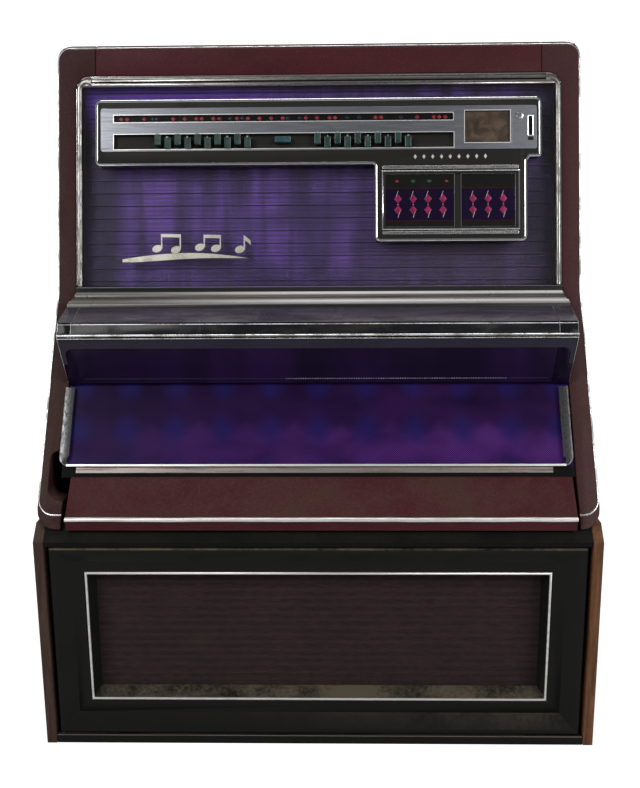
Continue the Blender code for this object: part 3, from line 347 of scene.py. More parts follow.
def newGroup(name, inputs, outputs):
    tree = bpy.data.node_groups.new(name, "ShaderNodeTree")
    kinds = {"v": "NodeSocketFloat", "c": "NodeSocketColor", "p": "NodeSocketVector"}
    for socket, kind, value in inputs:
        made = tree.interface.new_socket(name=socket, in_out="INPUT", socket_type=kinds[kind])
        made.default_value = value
    for socket, kind in outputs:
        tree.interface.new_socket(name=socket, in_out="OUTPUT", socket_type=kinds[kind])
    return tree, tree.nodes.new("NodeGroupInput").outputs, tree.nodes.new("NodeGroupOutput").inputs


def linkResults(tree, result, values):
    for name, value in values.items():
        tree.links.new(value, result[name])


def makeGrimeGroup():
    # dust on what faces up, and cloudy dirt everywhere
    tree, given, result = newGroup(
        "grime",
        [("Color", "c", (0.1, 0.1, 0.1, 1)), ("Dust Color", "c", (0.12, 0.10, 0.07, 1)),
         ("Dust", "v", 0.5), ("Dirt", "v", 0.3), ("Scale", "v", 9.0)],
        [("Color", "c"), ("Dust Mask", "v"), ("Cloud", "v")],
    )
    place = objectPlace(tree)
    cloud = cloudNoise(tree, place, given["Scale"], 6, Roughness=0.62)
    fine = cloudNoise(tree, place, 160, 3)
    upward = ramp(tree, facing(tree), 0.10, 0.75)
    broken = ramp(tree, mathNode(tree, "ADD", cloud, product(tree, fine, 0.35)), 0.45, 0.90)
    dust = product(tree, product(tree, upward, broken), given["Dust"])
    dirt = product(tree, ramp(tree, cloud, 0.42, 0.75), given["Dirt"])
    darker = mixColour(tree, dirt, given["Color"], (0.35, 0.30, 0.26, 1), "MULTIPLY")
    dusty = mixColour(tree, dust, darker, given["Dust Color"])
    linkResults(tree, result, {"Color": dusty, "Dust Mask": dust, "Cloud": cloud})
    return tree


def makeFleckGroup():
    # fine light flecks, as in textured enamel
    tree, given, result = newGroup(
        "flecks",
        [("Scale", "v", 700.0), ("Share", "v", 0.3)],
        [("Mask", "v"), ("Height", "v")],
    )
    place = objectPlace(tree)
    cells = addNode(tree, "TexVoronoi", {"Vector": place, "Scale": given["Scale"]})
    pick = addNode(tree, "SeparateColor", {0: cells.outputs["Color"]}).outputs[0]
    chosen = mathNode(tree, "LESS_THAN", pick, given["Share"])
    dot = ramp(tree, cells.outputs["Distance"], 0.42, 0.16)
    grain = cloudNoise(tree, place, given["Scale"], 2)
    linkResults(tree, result, {"Mask": product(tree, chosen, dot), "Height": grain})
    return tree


def makeTarnishGroup():
    # bright metal that has gone cloudy and pitted in places
    tree, given, result = newGroup(
        "tarnish",
        [("Bright", "c", (0.8, 0.8, 0.82, 1)), ("Tarnish", "c", (0.30, 0.27, 0.22, 1)),
         ("Amount", "v", 0.4), ("Stretch", "p", (1, 1, 1)), ("Low Roughness", "v", 0.1),
         ("High Roughness", "v", 0.4)],
        [("Color", "c"), ("Roughness", "v"), ("Height", "v")],
    )
    drawn = stretched(tree, objectPlace(tree), given["Stretch"])
    wide = cloudNoise(tree, drawn, 26, 7, Roughness=0.6)
    fine = cloudNoise(tree, drawn, 420, 3)
    pits = ramp(tree, mathNode(tree, "ADD", wide, product(tree, fine, 0.4)), 0.62, 0.86)
    spoiled = product(tree, pits, given["Amount"])
    colour = mixColour(tree, spoiled, given["Bright"], given["Tarnish"])
    uneven = mathNode(tree, "ADD", spoiled, product(tree, fine, 0.25))
    rough = addNode(
        tree, "MapRange", {0: uneven, 1: 0.0, 2: 0.9, 3: given["Low Roughness"], 4: given["High Roughness"]}
    ).outputs[0]
    relief = mathNode(tree, "ADD", fine, pits)
    linkResults(tree, result, {"Color": colour, "Roughness": rough, "Height": relief})
    return tree


def makeGrainGroup():
    # wood grain that runs up the board
    tree, given, result = newGroup(
        "wood grain",
        [("Light", "c", (0.2, 0.1, 0.05, 1)), ("Dark", "c", (0.05, 0.02, 0.01, 1)),
         ("Stretch", "p", (14, 14, 1)), ("Scale", "v", 6.0)],
        [("Color", "c"), ("Height", "v")],
    )
    drawn = stretched(tree, objectPlace(tree), given["Stretch"])
    bands = cloudNoise(tree, drawn, given["Scale"], 8, Roughness=0.65, Distortion=0.6)
    fibre = cloudNoise(tree, drawn, 60, 4, Roughness=0.7)
    tone = ramp(tree, mathNode(tree, "ADD", bands, product(tree, fibre, 0.5)), 0.55, 1.0)
    colour = mixColour(tree, tone, given["Dark"], given["Light"])
    linkResults(tree, result, {"Color": colour, "Height": mathNode(tree, "ADD", fibre, bands)})
    return tree


def makeScuffGroup():
    # smears and fine scratches on smooth surfaces, as a change of gloss
    tree, given, result = newGroup(
        "scuffs",
        [("Base Roughness", "v", 0.3), ("Variation", "v", 0.2), ("Scale", "v", 12.0)],
        [("Roughness", "v"), ("Height", "v")],
    )
    place = objectPlace(tree)
    smear = cloudNoise(tree, place, given["Scale"], 8, Distortion=1.4)
    turned = addNode(tree, "Mapping", {"Vector": place, "Rotation": (0.3, 0.9, 0.2), "Scale": (9, 260, 260)})
    scratches = ramp(tree, cloudNoise(tree, turned.outputs[0], 3, 2), 0.66, 0.74)
    mask = mathNode(tree, "MAXIMUM", ramp(tree, smear, 0.50, 0.72), product(tree, scratches, 0.7))
    rough = mathNode(tree, "ADD", given["Base Roughness"], product(tree, mask, given["Variation"]))
    linkResults(tree, result, {"Roughness": rough, "Height": scratches})
    return tree


grime = makeGrimeGroup()
flecks = makeFleckGroup()
tarnish = makeTarnishGroup()
woodGrain = makeGrainGroup()
scuffs = makeScuffGroup()


def useGroup(tree, group, values):
    made = tree.nodes.new("ShaderNodeGroup")
    made.node_tree = group
    for socket, value in values.items():
        if isinstance(value, bpy.types.NodeSocket):
            tree.links.new(value, made.inputs[socket])
        else:
            made.inputs[socket].default_value = value
    return made.outputs


def newMaterial(name, specular=0.2, **fixed):
    # fixed values go on the shader's own sockets
    material = bpy.data.materials.new(name)
    material.use_nodes = True
    tree = material.node_tree
    shader = tree.nodes["Principled BSDF"]
    shader.inputs["Specular IOR Level"].default_value = specular
    for socket, value in fixed.items():
        shader.inputs[socket.replace("_", " ")].default_value = value
    return material, tree, shader


def setBase(tree, shader, colour):
    tree.links.new(colour, shader.inputs["Base Color"])


def setGloss(tree, shader, roughness, variation, **more):
    # scuffed gloss; more: the group's Scale
    gloss = useGroup(tree, scuffs, {"Base Roughness": roughness, "Variation": variation, **more})
    tree.links.new(gloss["Roughness"], shader.inputs["Roughness"])
    return gloss


def bumpInto(tree, shader, height, distance, strength=1.0):
    bump = addNode(tree, "Bump", {"Height": height, "Distance": distance, "Strength": strength})
    tree.links.new(bump.outputs[0], shader.inputs["Normal"])


fleckLook = {"tone": (0.19, 0.080, 0.080), "strength": 0.55, "share": 0.22, "scale": 620}


def enamelMaterial(name, colour, dust, dirt, roughness):
    material, tree, shader = newMaterial(name, 0.07)
    spots = useGroup(tree, flecks, {"Scale": fleckLook["scale"], "Share": fleckLook["share"]})
    strength = product(tree, spots["Mask"], fleckLook["strength"])
    speckled = mixColour(tree, strength, (*colour, 1), (*fleckLook["tone"], 1))
    worn = useGroup(tree, grime, {"Color": speckled, "Dust": dust, "Dirt": dirt})
    setBase(tree, shader, worn["Color"])
    setGloss(tree, shader, roughness, 0.22)
    bumpInto(tree, shader, spots["Height"], 0.00025, 0.5)
    return material


def metalMaterial(name, bright, dull, amount, low, high, stretch=(1, 1, 1), depth=0.00002):
    material, tree, shader = newMaterial(name, Metallic=1.0)
    skin = useGroup(
        tree,
        tarnish,
        {"Bright": (*bright, 1), "Tarnish": (*dull, 1), "Amount": amount, "Stretch": stretch,
         "Low Roughness": low, "High Roughness": high},
    )
    setBase(tree, shader, skin["Color"])
    tree.links.new(skin["Roughness"], shader.inputs["Roughness"])
    bumpInto(tree, shader, skin["Height"], depth, 0.6)
    return material


def paintMaterial(name, colour, roughness, variation, dust, dirt, dustColour=(0.055, 0.048, 0.034)):
    material, tree, shader = newMaterial(name, 0.10)
    worn = useGroup(
        tree, grime, {"Color": (*colour, 1), "Dust Color": (*dustColour, 1), "Dust": dust, "Dirt": dirt}
    )
    setBase(tree, shader, worn["Color"])
    gloss = setGloss(tree, shader, roughness, variation)
    dusted = mathNode(tree, "ADD", gloss["Roughness"], product(tree, worn["Dust Mask"], 0.35), True)
    tree.links.new(dusted, shader.inputs["Roughness"])
    bumpInto(tree, shader, gloss["Height"], 0.0001, 0.4)
    return material


def woodMaterial(name, light, dark, roughness, stretch=(14, 14, 1), scale=6.0):
    material, tree, shader = newMaterial(name)
    grain = useGroup(
        tree, woodGrain, {"Light": (*light, 1), "Dark": (*dark, 1), "Stretch": stretch, "Scale": scale}
    )
    worn = useGroup(tree, grime, {"Color": grain["Color"], "Dust": 0.15, "Dirt": 0.25})
    setBase(tree, shader, worn["Color"])
    setGloss(tree, shader, roughness, 0.2)
    bumpInto(tree, shader, grain["Height"], 0.0003, 0.5)
    return material


def inkMaterial(name, colour, second, roughness=0.35, glow=0.0):
    # translucent printed colour, uneven across its width
    material, tree, shader = newMaterial(name, 0.25)
    cloud = cloudNoise(tree, objectPlace(tree), 90, 4)
    tone = mixColour(tree, ramp(tree, cloud, 0.3, 0.7), (*colour, 1), (*second, 1))
    setBase(tree, shader, tone)
    setGloss(tree, shader, roughness, 0.15)
    # where glow is given, it is painted light: the print glows with no lamp behind it
    if glow:
        tree.links.new(tone, shader.inputs["Emission Color"])
        shader.inputs["Emission Strength"].default_value = glow
    bumpInto(tree, shader, cloud, 0.0001, 0.3)
    return material


def glassMaterial(name, tint, roughness, smear):
    # clear sheet; light passes it on its way to what lies behind
    material, tree, shader = newMaterial(name, 0.35, Transmission_Weight=1.0, IOR=1.46)
    cloud = useGroup(tree, grime, {"Color": (*tint, 1), "Dust": 0.0, "Dirt": 0.10})
    setBase(tree, shader, cloud["Color"])
    setGloss(tree, shader, roughness, smear, Scale=7.0)
    clear = addNode(tree, "BsdfTransparent", {"Color": (*tint, 1)})
    path = addNode(tree, "LightPath")
    mixed = addNode(
        tree, "MixShader", {0: path.outputs["Is Shadow Ray"], 1: shader.outputs[0], 2: clear.outputs[0]}
    )
    tree.links.new(mixed.outputs[0], tree.nodes["Material Output"].inputs["Surface"])
    return material


print("scene: shared finishes")
enamels = {  # tone, dust, dirt, roughness
    "maroonEnamel": ((0.0532, 0.0118, 0.0154), 0.20, 0.35, 0.42),
    # the left casting's enamel is a darker copy of the right one's: painted shade
    "castMaroonLeft": ((0.0361, 0.0136, 0.0144), 0.30, 0.45, 0.46),
    "castMaroonRight": ((0.0507, 0.0197, 0.0209), 0.30, 0.45, 0.46),
}
metals = {  # bright and dull tone, share gone dull, least and most roughness, streak stretch, relief
    "wornChrome": ((0.64, 0.64, 0.645), (0.20, 0.18, 0.155), 0.85, 0.12, 0.40),
    "brightChrome": ((0.86, 0.86, 0.87), (0.5, 0.47, 0.43), 0.35, 0.08, 0.25),
    "silverStrip": ((0.93, 0.92, 0.90), (0.50, 0.41, 0.33), 0.35, 0.34, 0.55, (0.6, 4, 4), 0.000008),
    "bezelMetal": ((0.30, 0.28, 0.265), (0.085, 0.075, 0.065), 0.8, 0.20, 0.42, (0.4, 6, 6)),
    "bezelUpright": ((0.27, 0.26, 0.25), (0.085, 0.075, 0.065), 0.8, 0.22, 0.42, (6, 6, 0.5)),
    "cheekMetal": ((0.150, 0.150, 0.152), (0.045, 0.043, 0.042), 0.8, 0.22, 0.45, (7, 7, 0.7)),
    "brushedPlate": ((0.262, 0.273, 0.298), (0.145, 0.148, 0.162), 0.7, 0.28, 0.46, (0.6, 7, 12), 0.00001),
    "zincSteel": ((0.50, 0.50, 0.49), (0.26, 0.24, 0.20), 0.6, 0.3, 0.55),
    "castAluminium": ((0.62, 0.62, 0.60), (0.33, 0.32, 0.30), 0.5, 0.3, 0.5),
    "emblemCream": ((0.60, 0.57, 0.50), (0.30, 0.27, 0.22), 0.6, 0.35, 0.6),
    "wornStrip": ((0.30, 0.26, 0.24), (0.13, 0.10, 0.085), 0.8, 0.4, 0.6, (0.4, 8, 8)),
    "dullStrip": ((0.16, 0.13, 0.17), (0.06, 0.05, 0.06), 0.6, 0.4, 0.6),
}
paints = {  # tone, roughness and its variation, dust, dirt, and the dust's tone where it has its own
    "blackPaint": ((0.0085, 0.0085, 0.0080), 0.38, 0.25, 0.75, 0.2),
    "housingBlack": ((0.017, 0.0165, 0.0145), 0.42, 0.3, 0.35, 0.2, (0.10, 0.09, 0.075)),
    "roofVinyl": ((0.011, 0.011, 0.011), 0.45, 0.25, 0.5, 0.2),
    "greyEnamel": ((0.20, 0.21, 0.21), 0.4, 0.25, 0.35, 0.4),
    # near black for gaps, grooves and the coin slot's opening: painted shade
    "gapBlack": ((0.0035, 0.0035, 0.0035), 0.7, 0.1, 0.0, 0.1),
    # near black under the lid's overhang: painted shade
    "shoulderPaint": ((0.0035, 0.0035, 0.0034), 0.6, 0.1, 0.12, 0.1),
    "doorPaint": ((0.0085, 0.0085, 0.0080), 0.40, 0.25, 1.25, 0.2, (0.095, 0.078, 0.054)),
    "legendBlack": ((0.008, 0.007, 0.008), 0.25, 0.2, 0.1, 0.1),
    "bandPlastic": ((0.030, 0.028, 0.044), 0.22, 0.25, 0.3, 0.4, (0.07, 0.062, 0.07)),
    "wornEdge": ((0.15, 0.12, 0.10), 0.6, 0.2, 0.0, 0.8),
    "speakerPaper": ((0.020, 0.019, 0.018), 0.8, 0.1, 0.3, 0.3),
    "discBlack": ((0.012, 0.012, 0.012), 0.22, 0.2, 0.4, 0.1),
}
woods = {  # light and dark tone, roughness, stretch and scale of the grain
    # the left board's walnut is a darker, greyer copy of the right board's: painted shade
    "walnutDark": ((0.075, 0.040, 0.028), (0.028, 0.015, 0.011), 0.45),
    "walnutWarm": ((0.19, 0.082, 0.036), (0.065, 0.026, 0.012), 0.42),
    "plywoodFace": ((0.36, 0.24, 0.14), (0.20, 0.12, 0.06), 0.7, (1, 14, 14)),
    "hardboardFace": ((0.16, 0.095, 0.055), (0.10, 0.055, 0.03), 0.8, (3, 3, 3), 30.0),
}
# the glow column is painted light: the print glows with no lamp behind it
inks = {  # tone, second tone, roughness, glow
    "redInk": ((0.30, 0.020, 0.032), (0.17, 0.010, 0.020), 0.35, 0.03),
    "blueInk": ((0.014, 0.016, 0.060), (0.010, 0.010, 0.030), 0.3),
    "greenInk": ((0.010, 0.085, 0.055), (0.008, 0.05, 0.035), 0.4),
    "crimsonInk": ((0.27, 0.014, 0.080), (0.15, 0.008, 0.045), 0.35, 0.03),
    "paleInk": ((0.42, 0.38, 0.40), (0.32, 0.28, 0.31), 0.4),
    "glyphInk": ((0.26, 0.32, 0.30), (0.12, 0.16, 0.15), 0.4),
    "foldGlint": ((0.34, 0.29, 0.40), (0.16, 0.12, 0.22), 0.35),
}


def makeFinishes(maker, table):
    return {name: maker(name, *values) for name, values in table.items()}


enamel = makeFinishes(enamelMaterial, enamels)
metal = makeFinishes(metalMaterial, metals)
paint = makeFinishes(paintMaterial, paints)
wood = makeFinishes(woodMaterial, woods)
ink = makeFinishes(inkMaterial, inks)


# Cabinet and what it holds

print("scene: cabinet boards")
cabinetLook = {"edge": 0.0012, "doorEdge": 0.0010, "roofEdge": 0.0015}
# the left board takes the darker copy of the walnut: painted shade
softCopy("side_panel_left", wood["walnutDark"], "cabinet", cabinetLook["edge"], 2)
softCopy("side_panel_right", wood["walnutWarm"], "cabinet", cabinetLook["edge"], 2)
softCopy("plinth_board", paint["blackPaint"], "cabinet", cabinetLook["edge"], 2)
softCopy("roof_panel", paint["roofVinyl"], "lid", cabinetLook["roofEdge"], 3)
innerFinishes = {
    # the shoulder under the lid's overhang is near black: painted shade
    "base_top_rail": paint["shoulderPaint"],
    "floor_board": wood["plywoodFace"],
    "mechanism_shelf": wood["plywoodFace"],
    "back_panel": wood["hardboardFace"],
    "lid_hinge": metal["zincSteel"],
    "mechanism_column": metal["castAluminium"],
    "amplifier": paint["greyEnamel"],
    "coin_acceptor": paint["greyEnamel"],
    "cash_box": metal["zincSteel"],
    "turntable_platter": metal["castAluminium"],
    "tonearm": metal["castAluminium"],
    "transfer_arm": metal["castAluminium"],
    "woofer_left": paint["speakerPaper"],
    "woofer_right": paint["speakerPaper"],
    "record_carousel": paint["discBlack"],
}
for nodeName, finish in innerFinishes.items():
    setFinish(nodeName, finish)


# Sloping maroon frame

print("scene: frame")
frameLook = {
    "edge": 0.0030,
    "railEdge": 0.0015,
    "lineWidth": 0.0034,
    "lineProud": 0.0016,
    "lineSunk": -0.0006,
    "cornerRadius": 0.0265,
    "bottomRadius": 0.030,
    "lineBottom": 0.4485,
    "lineTop": 1.3036,
    "leftEnd": -0.4690,
    "rightEnd": 0.4775,
    "bendBelowTop": 0.03,
    "uprightLength": 0.3,
    "kneeReach": 0.01,
    "nearest": 0.0004,
}
# the left casting takes the darker copy of the enamel: painted shade
softCopy("side_casting_left", enamel["castMaroonLeft"], "lid", frameLook["edge"], 3)
softCopy("side_casting_right", enamel["castMaroonRight"], "lid", frameLook["edge"], 3)
softCopy("frame_top_rail", enamel["maroonEnamel"], "lid", frameLook["edge"], 3)
softCopy("frame_bottom_rail", enamel["maroonEnamel"], "lid", frameLook["railEdge"], 2)


def edgeLineCorners():
    # the frame's outer edge, from one bottom corner over the top to the other
    half = front["halfWidth"]
    low, high = frameLook["lineBottom"], frameLook["lineTop"]
    corners = [(frameLook["rightEnd"], low), (half, low), (half, high), (-half, high), (-half, low),
               (frameLook["leftEnd"], low)]
    wide, tight = frameLook["bottomRadius"], frameLook["cornerRadius"]
    return roundCorners(corners, [0, wide, tight, tight, wide, 0], 9)


def edgeLinePoints():
    # on each upright, points are added where the face bends, in the order in which the line passes
    rounded = edgeLineCorners()
    line = []
    for start, end in zip(rounded, rounded[1:]):
        line.append(start)
        bends = []
        low, high = min(start.y, end.y), max(start.y, end.y)
        if low < front["kneeZ"] - frameLook["kneeReach"] and high > front["kneeZ"] + frameLook["kneeReach"]:
            bends.append(Vector((start.x, front["kneeZ"])))
        if high - low > frameLook["uprightLength"]:
            bends.append(Vector((start.x, front["frameTop"] - frameLook["bendBelowTop"])))
        line.extend(bends if end.y > start.y else reversed(bends))
    line.append(rounded[-1])
    ordered = [line[0]]
    for point in line[1:]:
        if (point - ordered[-1]).length > frameLook["nearest"]:
            ordered.append(point)
    return ordered


profile = halfRound(frameLook["lineWidth"], frameLook["lineProud"], frameLook["lineSunk"])
addRim("frameEdgeLine", edgeLinePoints(), profile, onFrame, metal["wornChrome"], closed=False)

bottomStrip = {
    "left": -0.4576,
    "right": 0.4700,
    "height": 0.4480,
    "width": 0.0088,
    "proud": 0.0062,
    "lipY": -0.3232,
    "wave": 0.0007,
    "cuts": 90,
}


def makeBottomStrip():
    # bright strip along the bottom rail's nose, a little dented along its length
    section = []
    for step in range(9):
        turn = math.pi * step / 8
        section.append((bottomStrip["lipY"] - bottomStrip["proud"] * math.sin(turn),
                        bottomStrip["height"] - math.cos(turn) * bottomStrip["width"] / 2))

    def wander(x):
        drift = noise.noise(Vector((x * 9, 3.1, 0.0))) + 0.5 * noise.noise(Vector((x * 31, 7.7, 0.0)))
        return Vector((0, 0, drift * bottomStrip["wave"]))

    left, right = bottomStrip["left"], bottomStrip["right"]
    mesh = longMesh("bottomStrip", section, left, right, bottomStrip["cuts"], wander)
    addPiece("bottomStrip", mesh, metal["silverStrip"], "lid")


makeBottomStrip()


# Opening of the title panel

print("scene: title panel")
titleLook = {
    "purple": (0.022, 0.012, 0.050),
    "bright": (0.118, 0.056, 0.262),
    "woven": (0.010, 0.006, 0.022),
    "vivid": (0.135, 0.045, 0.420),
    "grey": (0.040, 0.029, 0.048),
    # dark tone of the painted shade along the strips
    "ruled": (0.010, 0.006, 0.014),
    "sideShade": (0.010, 0.007, 0.018),
    "stripPitch": 0.0251,
    "firstStrip": 0.0254,
    "stripHeight": 0.006,
    "lineThickness": 0.0016,
    "shadeThickness": 0.0052,
    "columnPitch": 0.0045,
    "columnWidth": 0.0016,
    "rowPitch": 0.0042,
    "rowWidth": 0.0014,
    "threadSoft": 0.0008,
    "middle": 0.010,
    # strips of painted shade down both sides of the opening
    "shadeStripWidth": 0.012,
    "shadeStripFoot": 0.018,
    "shadeStripOverlap": 0.012,
    "shadeStripFront": -0.0255,
    "shadeStripBack": -0.0066,
    "edgeGap": 0.0012,
}


def titleMaterial():
    # woven purple, with soft upright folds of painted light, level strips edged with painted shade, and
    # painted shade towards both sides
    look = titleLook
    material, tree, shader = newMaterial("titlePurple", 0.12)
    across, height, turned = facePlace(tree, upperFace)
    pitch = look["stripPitch"]
    first = look["firstStrip"]
    # dark lines along each strip's edges and a softer band between them: painted shade of the strips
    low = stripeMask(tree, height, pitch, first, look["lineThickness"])
    high = stripeMask(tree, height, pitch, first + look["stripHeight"], look["lineThickness"])
    shadeStart = first + look["stripHeight"] / 2 + pitch / 2
    between = stripeMask(tree, height, pitch, shadeStart, look["shadeThickness"], 0.0012)
    lines = mathNode(tree, "MAXIMUM", mathNode(tree, "MAXIMUM", low, high), product(tree, between, 0.45))
    columns = stripeMask(tree, across, look["columnPitch"], 0.0, look["columnWidth"], look["threadSoft"])
    rows = stripeMask(tree, height, look["rowPitch"], 0.0, look["rowWidth"], look["threadSoft"])
    fold = cloudNoise(tree, stretched(tree, turned, (30, 1, 2.5)), 1.0, 3)
    patch = cloudNoise(tree, stretched(tree, turned, (5, 1, 9)), 1.0, 4)
    light = product(tree, ramp(tree, fold, 0.34, 0.68), ramp(tree, patch, 0.28, 0.66))
    mottle = cloudNoise(tree, turned, 95, 4, Roughness=0.7)
    glow = mathNode(tree, "ADD", light, product(tree, mottle, 0.20))
    base = mixColour(tree, glow, (*look["purple"], 1), (*look["bright"], 1))
    upperLeft = product(tree, ramp(tree, height, 0.300, 0.352), ramp(tree, across, 0.12, -0.32))
    vivid = mixColour(tree, product(tree, upperLeft, 0.92), base, (*look["vivid"], 1))
    lowerRight = product(tree, ramp(tree, across, -0.10, 0.30), ramp(tree, height, 0.28, 0.10))
    faded = mixColour(tree, product(tree, lowerRight, 0.8), vivid, (*look["grey"], 1))
    weave = mathNode(tree, "MAXIMUM", columns, product(tree, rows, 0.8))
    woven = mixColour(tree, product(tree, weave, 0.58), faded, (*look["woven"], 1))
    ruled = mixColour(tree, product(tree, lines, 0.8), woven, (*look["ruled"], 1))
    # painted shade towards both sides, where the frame shades the panel, with less of it at the upper left
    side = ramp(tree, distanceTo(tree, across, look["middle"]), 0.375, 0.440)
    depth = mathNode(tree, "SUBTRACT", 0.86, product(tree, upperLeft, 0.6))
    shaded = mixColour(tree, product(tree, side, depth), ruled, (*look["sideShade"], 1))
    worn = useGroup(tree, grime, {"Color": shaded, "Dust": 0.0, "Dirt": 0.35, "Scale": 14.0})
    setBase(tree, shader, worn["Color"])
    setGloss(tree, shader, 0.42, 0.2)
    bumpInto(tree, shader, mathNode(tree, "ADD", columns, rows), 0.0002, 0.4)
    return material


setFinish("title_panel", titleMaterial())
setFinish("title_glass", glassMaterial("titleGlass", (0.93, 0.93, 0.96), 0.0, 0.10))

bezelLook = {
    "edge": 0.0005,
    "low": 0.4063,
    "high": 0.4283,
    "half": 0.448,
    "ridgeLow": 0.0020,
    "ridgeHigh": 0.0038,
    "highRidgeDown": 0.0022,
    "highRidgeHalf": 0.0006,
    "lowRidgeUp": 0.0062,
    "lowRidgeHalf": 0.0005,
    "grooveStart": 0.0080,
    "grooveEnd": 0.0105,
    "grooveLow": 0.0018,
    "grooveHigh": 0.0034,
}
trimLook = {
    "gap": 0.0008,
    "foot": 0.0125,
    "width": 0.0105,
    "proud": 0.0042,
    "sunk": 0.0003,
    "cornerRadius": 0.0250,
    "cornerSteps": 10,
    "elbowShare": 2.0,
    "elbowLength": 0.004,
    "endShare": 2.05,
    "topGap": 0.0004,
    "edgeHalf": 0.0006,
    "edgeInset": 0.0008,
    "edgeFoot": 0.016,
    "edgeProud": 0.0006,
}
softCopy("bezel_top", metal["bezelMetal"], "lid", bezelLook["edge"], 2)


def sideTrimLine(side, half, top):
    # up the side and round the corner, growing wider into the moulding
    look = trimLook
    radius = look["cornerRadius"]
    line = [Vector((side * half, look["foot"]))]
    widths = [1.0]
    for step in range(look["cornerSteps"] + 1):
        share = step / look["cornerSteps"]
        turn = math.pi / 2 * share
        x = half - radius + radius * math.cos(turn)
        line.append(Vector((side * x, top - radius + radius * math.sin(turn))))
        widths.append(1 + (look["elbowShare"] - 1) * share)
    line.append(Vector((side * (half - radius - look["elbowLength"]), top)))
    widths.append(look["endShare"])
    return line, widths


def makeSideTrims():
    # bright strips up both sides of the opening, with an elbow into the top moulding
    look = trimLook
    half = front["openingHalf"] - look["gap"]
    top = bezelLook["high"] - look["topGap"]
    for side, name in ((-1, "sideTrimLeft"), (1, "sideTrimRight")):
        line, widths = sideTrimLine(side, half, top)
        profile = halfRound(look["width"], look["proud"], look["sunk"], 8)
        if side < 0:
            profile = [(-distance, proud) for distance, proud in profile]
        addRim(name, line, profile, onUpper, metal["bezelUpright"], closed=False, shares=widths)
        edge = side * (half - look["edgeInset"])
        outline = rectangle(
            edge - look["edgeHalf"], edge + look["edgeHalf"], look["edgeFoot"], top - look["cornerRadius"]
        )
        low, high = look["proud"] * 0.5, look["proud"] + look["edgeProud"]
        addOnFace(name + "Edge", outline, low, high, onUpper, metal["brightChrome"])


def makeBezelLines():
    # polished ridges along the moulding, and a black strip of painted shade in the groove between them
    look = bezelLook
    ridges = {
        "bezelRidgeHigh": (look["high"] - look["highRidgeDown"], look["highRidgeHalf"]),
        "bezelRidgeLow": (look["low"] + look["lowRidgeUp"], look["lowRidgeHalf"]),
    }
    for name, (along, half) in ridges.items():
        outline = rectangle(-look["half"], look["half"], along - half, along + half)
        addOnFace(
            name, outline, look["ridgeLow"], look["ridgeHigh"], onUpper, metal["brightChrome"]
        )
    outline = rectangle(
        -look["half"], look["half"], look["low"] + look["grooveStart"], look["low"] + look["grooveEnd"]
    )
    addOnFace(
        "bezelGroove", outline, look["grooveLow"], look["grooveHigh"], onUpper, paint["gapBlack"]
    )


def makePanelShadeStrips():
    # black upright strips of painted shade between the frame and the purple panel
    look = titleLook
    half = front["openingHalf"] - look["edgeGap"]
    top = bezelLook["low"] + look["shadeStripOverlap"]
    for side, name in ((-1, "panelShadeLeft"), (1, "panelShadeRight")):
        inner = side * (half - look["shadeStripWidth"])
        outer = side * half
        outline = rectangle(min(inner, outer), max(inner, outer), look["shadeStripFoot"], top)
        low, high = look["shadeStripFront"], look["shadeStripBack"]
        addOnFace(name, outline, low, high, onUpper, paint["blackPaint"])


makeSideTrims()
makeBezelLines()
makePanelShadeStrips()


# Ornament on the glass

emblemLook = {
    "left": -0.3861,
    "right": -0.1223,
    "foot": 0.0592,
    "head": 0.1185,
    "back": -0.0021,
    "front": 0.0014,
    "layer": 0.0002,
    "edge": 0.0005,
    "noteShares": ((0.26, 0.46), (0.40, 0.42), (0.58, 0.50), (0.70, 0.46), (0.88, 0.42)),
    "headWide": 0.0098,
    "headTall": 0.0072,
    "headLean": (0.94, 0.34),
    "stem": 0.0024,
    "stemSideShare": 0.90,
    "stemTopShare": 0.96,
    "stemFallShare": 0.10,
    "beams": ((0, 1), (2, 3)),
    "beamDepth": 0.0068,
    "flag": ((0, 0), (0.012, -0.010), (0.013, -0.020), (0.006, -0.013), (0, -0.009)),
    "strokeSteps": 24,
    "strokeHalf": 0.0082,
    "strokeTaperShare": 0.55,
}


def makeNotes(shape):
    # heads with their stems, two pairs under beams, and a flag on the last
    look = emblemLook
    wide = look["right"] - look["left"]
    tall = look["head"] - look["foot"]
    even, lean = look["headLean"]
    layers = [look["front"] - look["layer"] * depth for depth in range(3)]
    tops = []
    for shareX, shareY in look["noteShares"]:
        x = look["left"] + wide * shareX
        y = look["foot"] + tall * shareY
        head = []
        for step in range(18):
            turn = math.tau * step / 18
            dx = look["headWide"] * math.cos(turn)
            dy = look["headTall"] * math.sin(turn)
            head.append((x + dx * even - dy * lean, y + dx * lean + dy * even))
        addPlate(shape, head, look["back"], layers[0], onUpper)
        stemX = x + look["headWide"] * look["stemSideShare"]
        top = look["foot"] + tall * (look["stemTopShare"] - look["stemFallShare"] * (shareX - 0.2))
        stem = rectangle(stemX - look["stem"] / 2, stemX + look["stem"] / 2, y, top)
        addPlate(shape, stem, look["back"], layers[1], onUpper)
        tops.append((stemX, top))
    half = look["stem"] / 2
    depth = look["beamDepth"]
    for first, second in look["beams"]:
        (x0, y0), (x1, y1) = tops[first], tops[second]
        beam = [(x0 - half, y0 - depth), (x1 + half, y1 - depth), (x1 + half, y1), (x0 - half, y0)]
        addPlate(shape, beam, look["back"], layers[2], onUpper)
    x, y = tops[-1]
    addPlate(shape, [(x + dx, y + dy) for dx, dy in look["flag"]], look["back"], layers[2], onUpper)


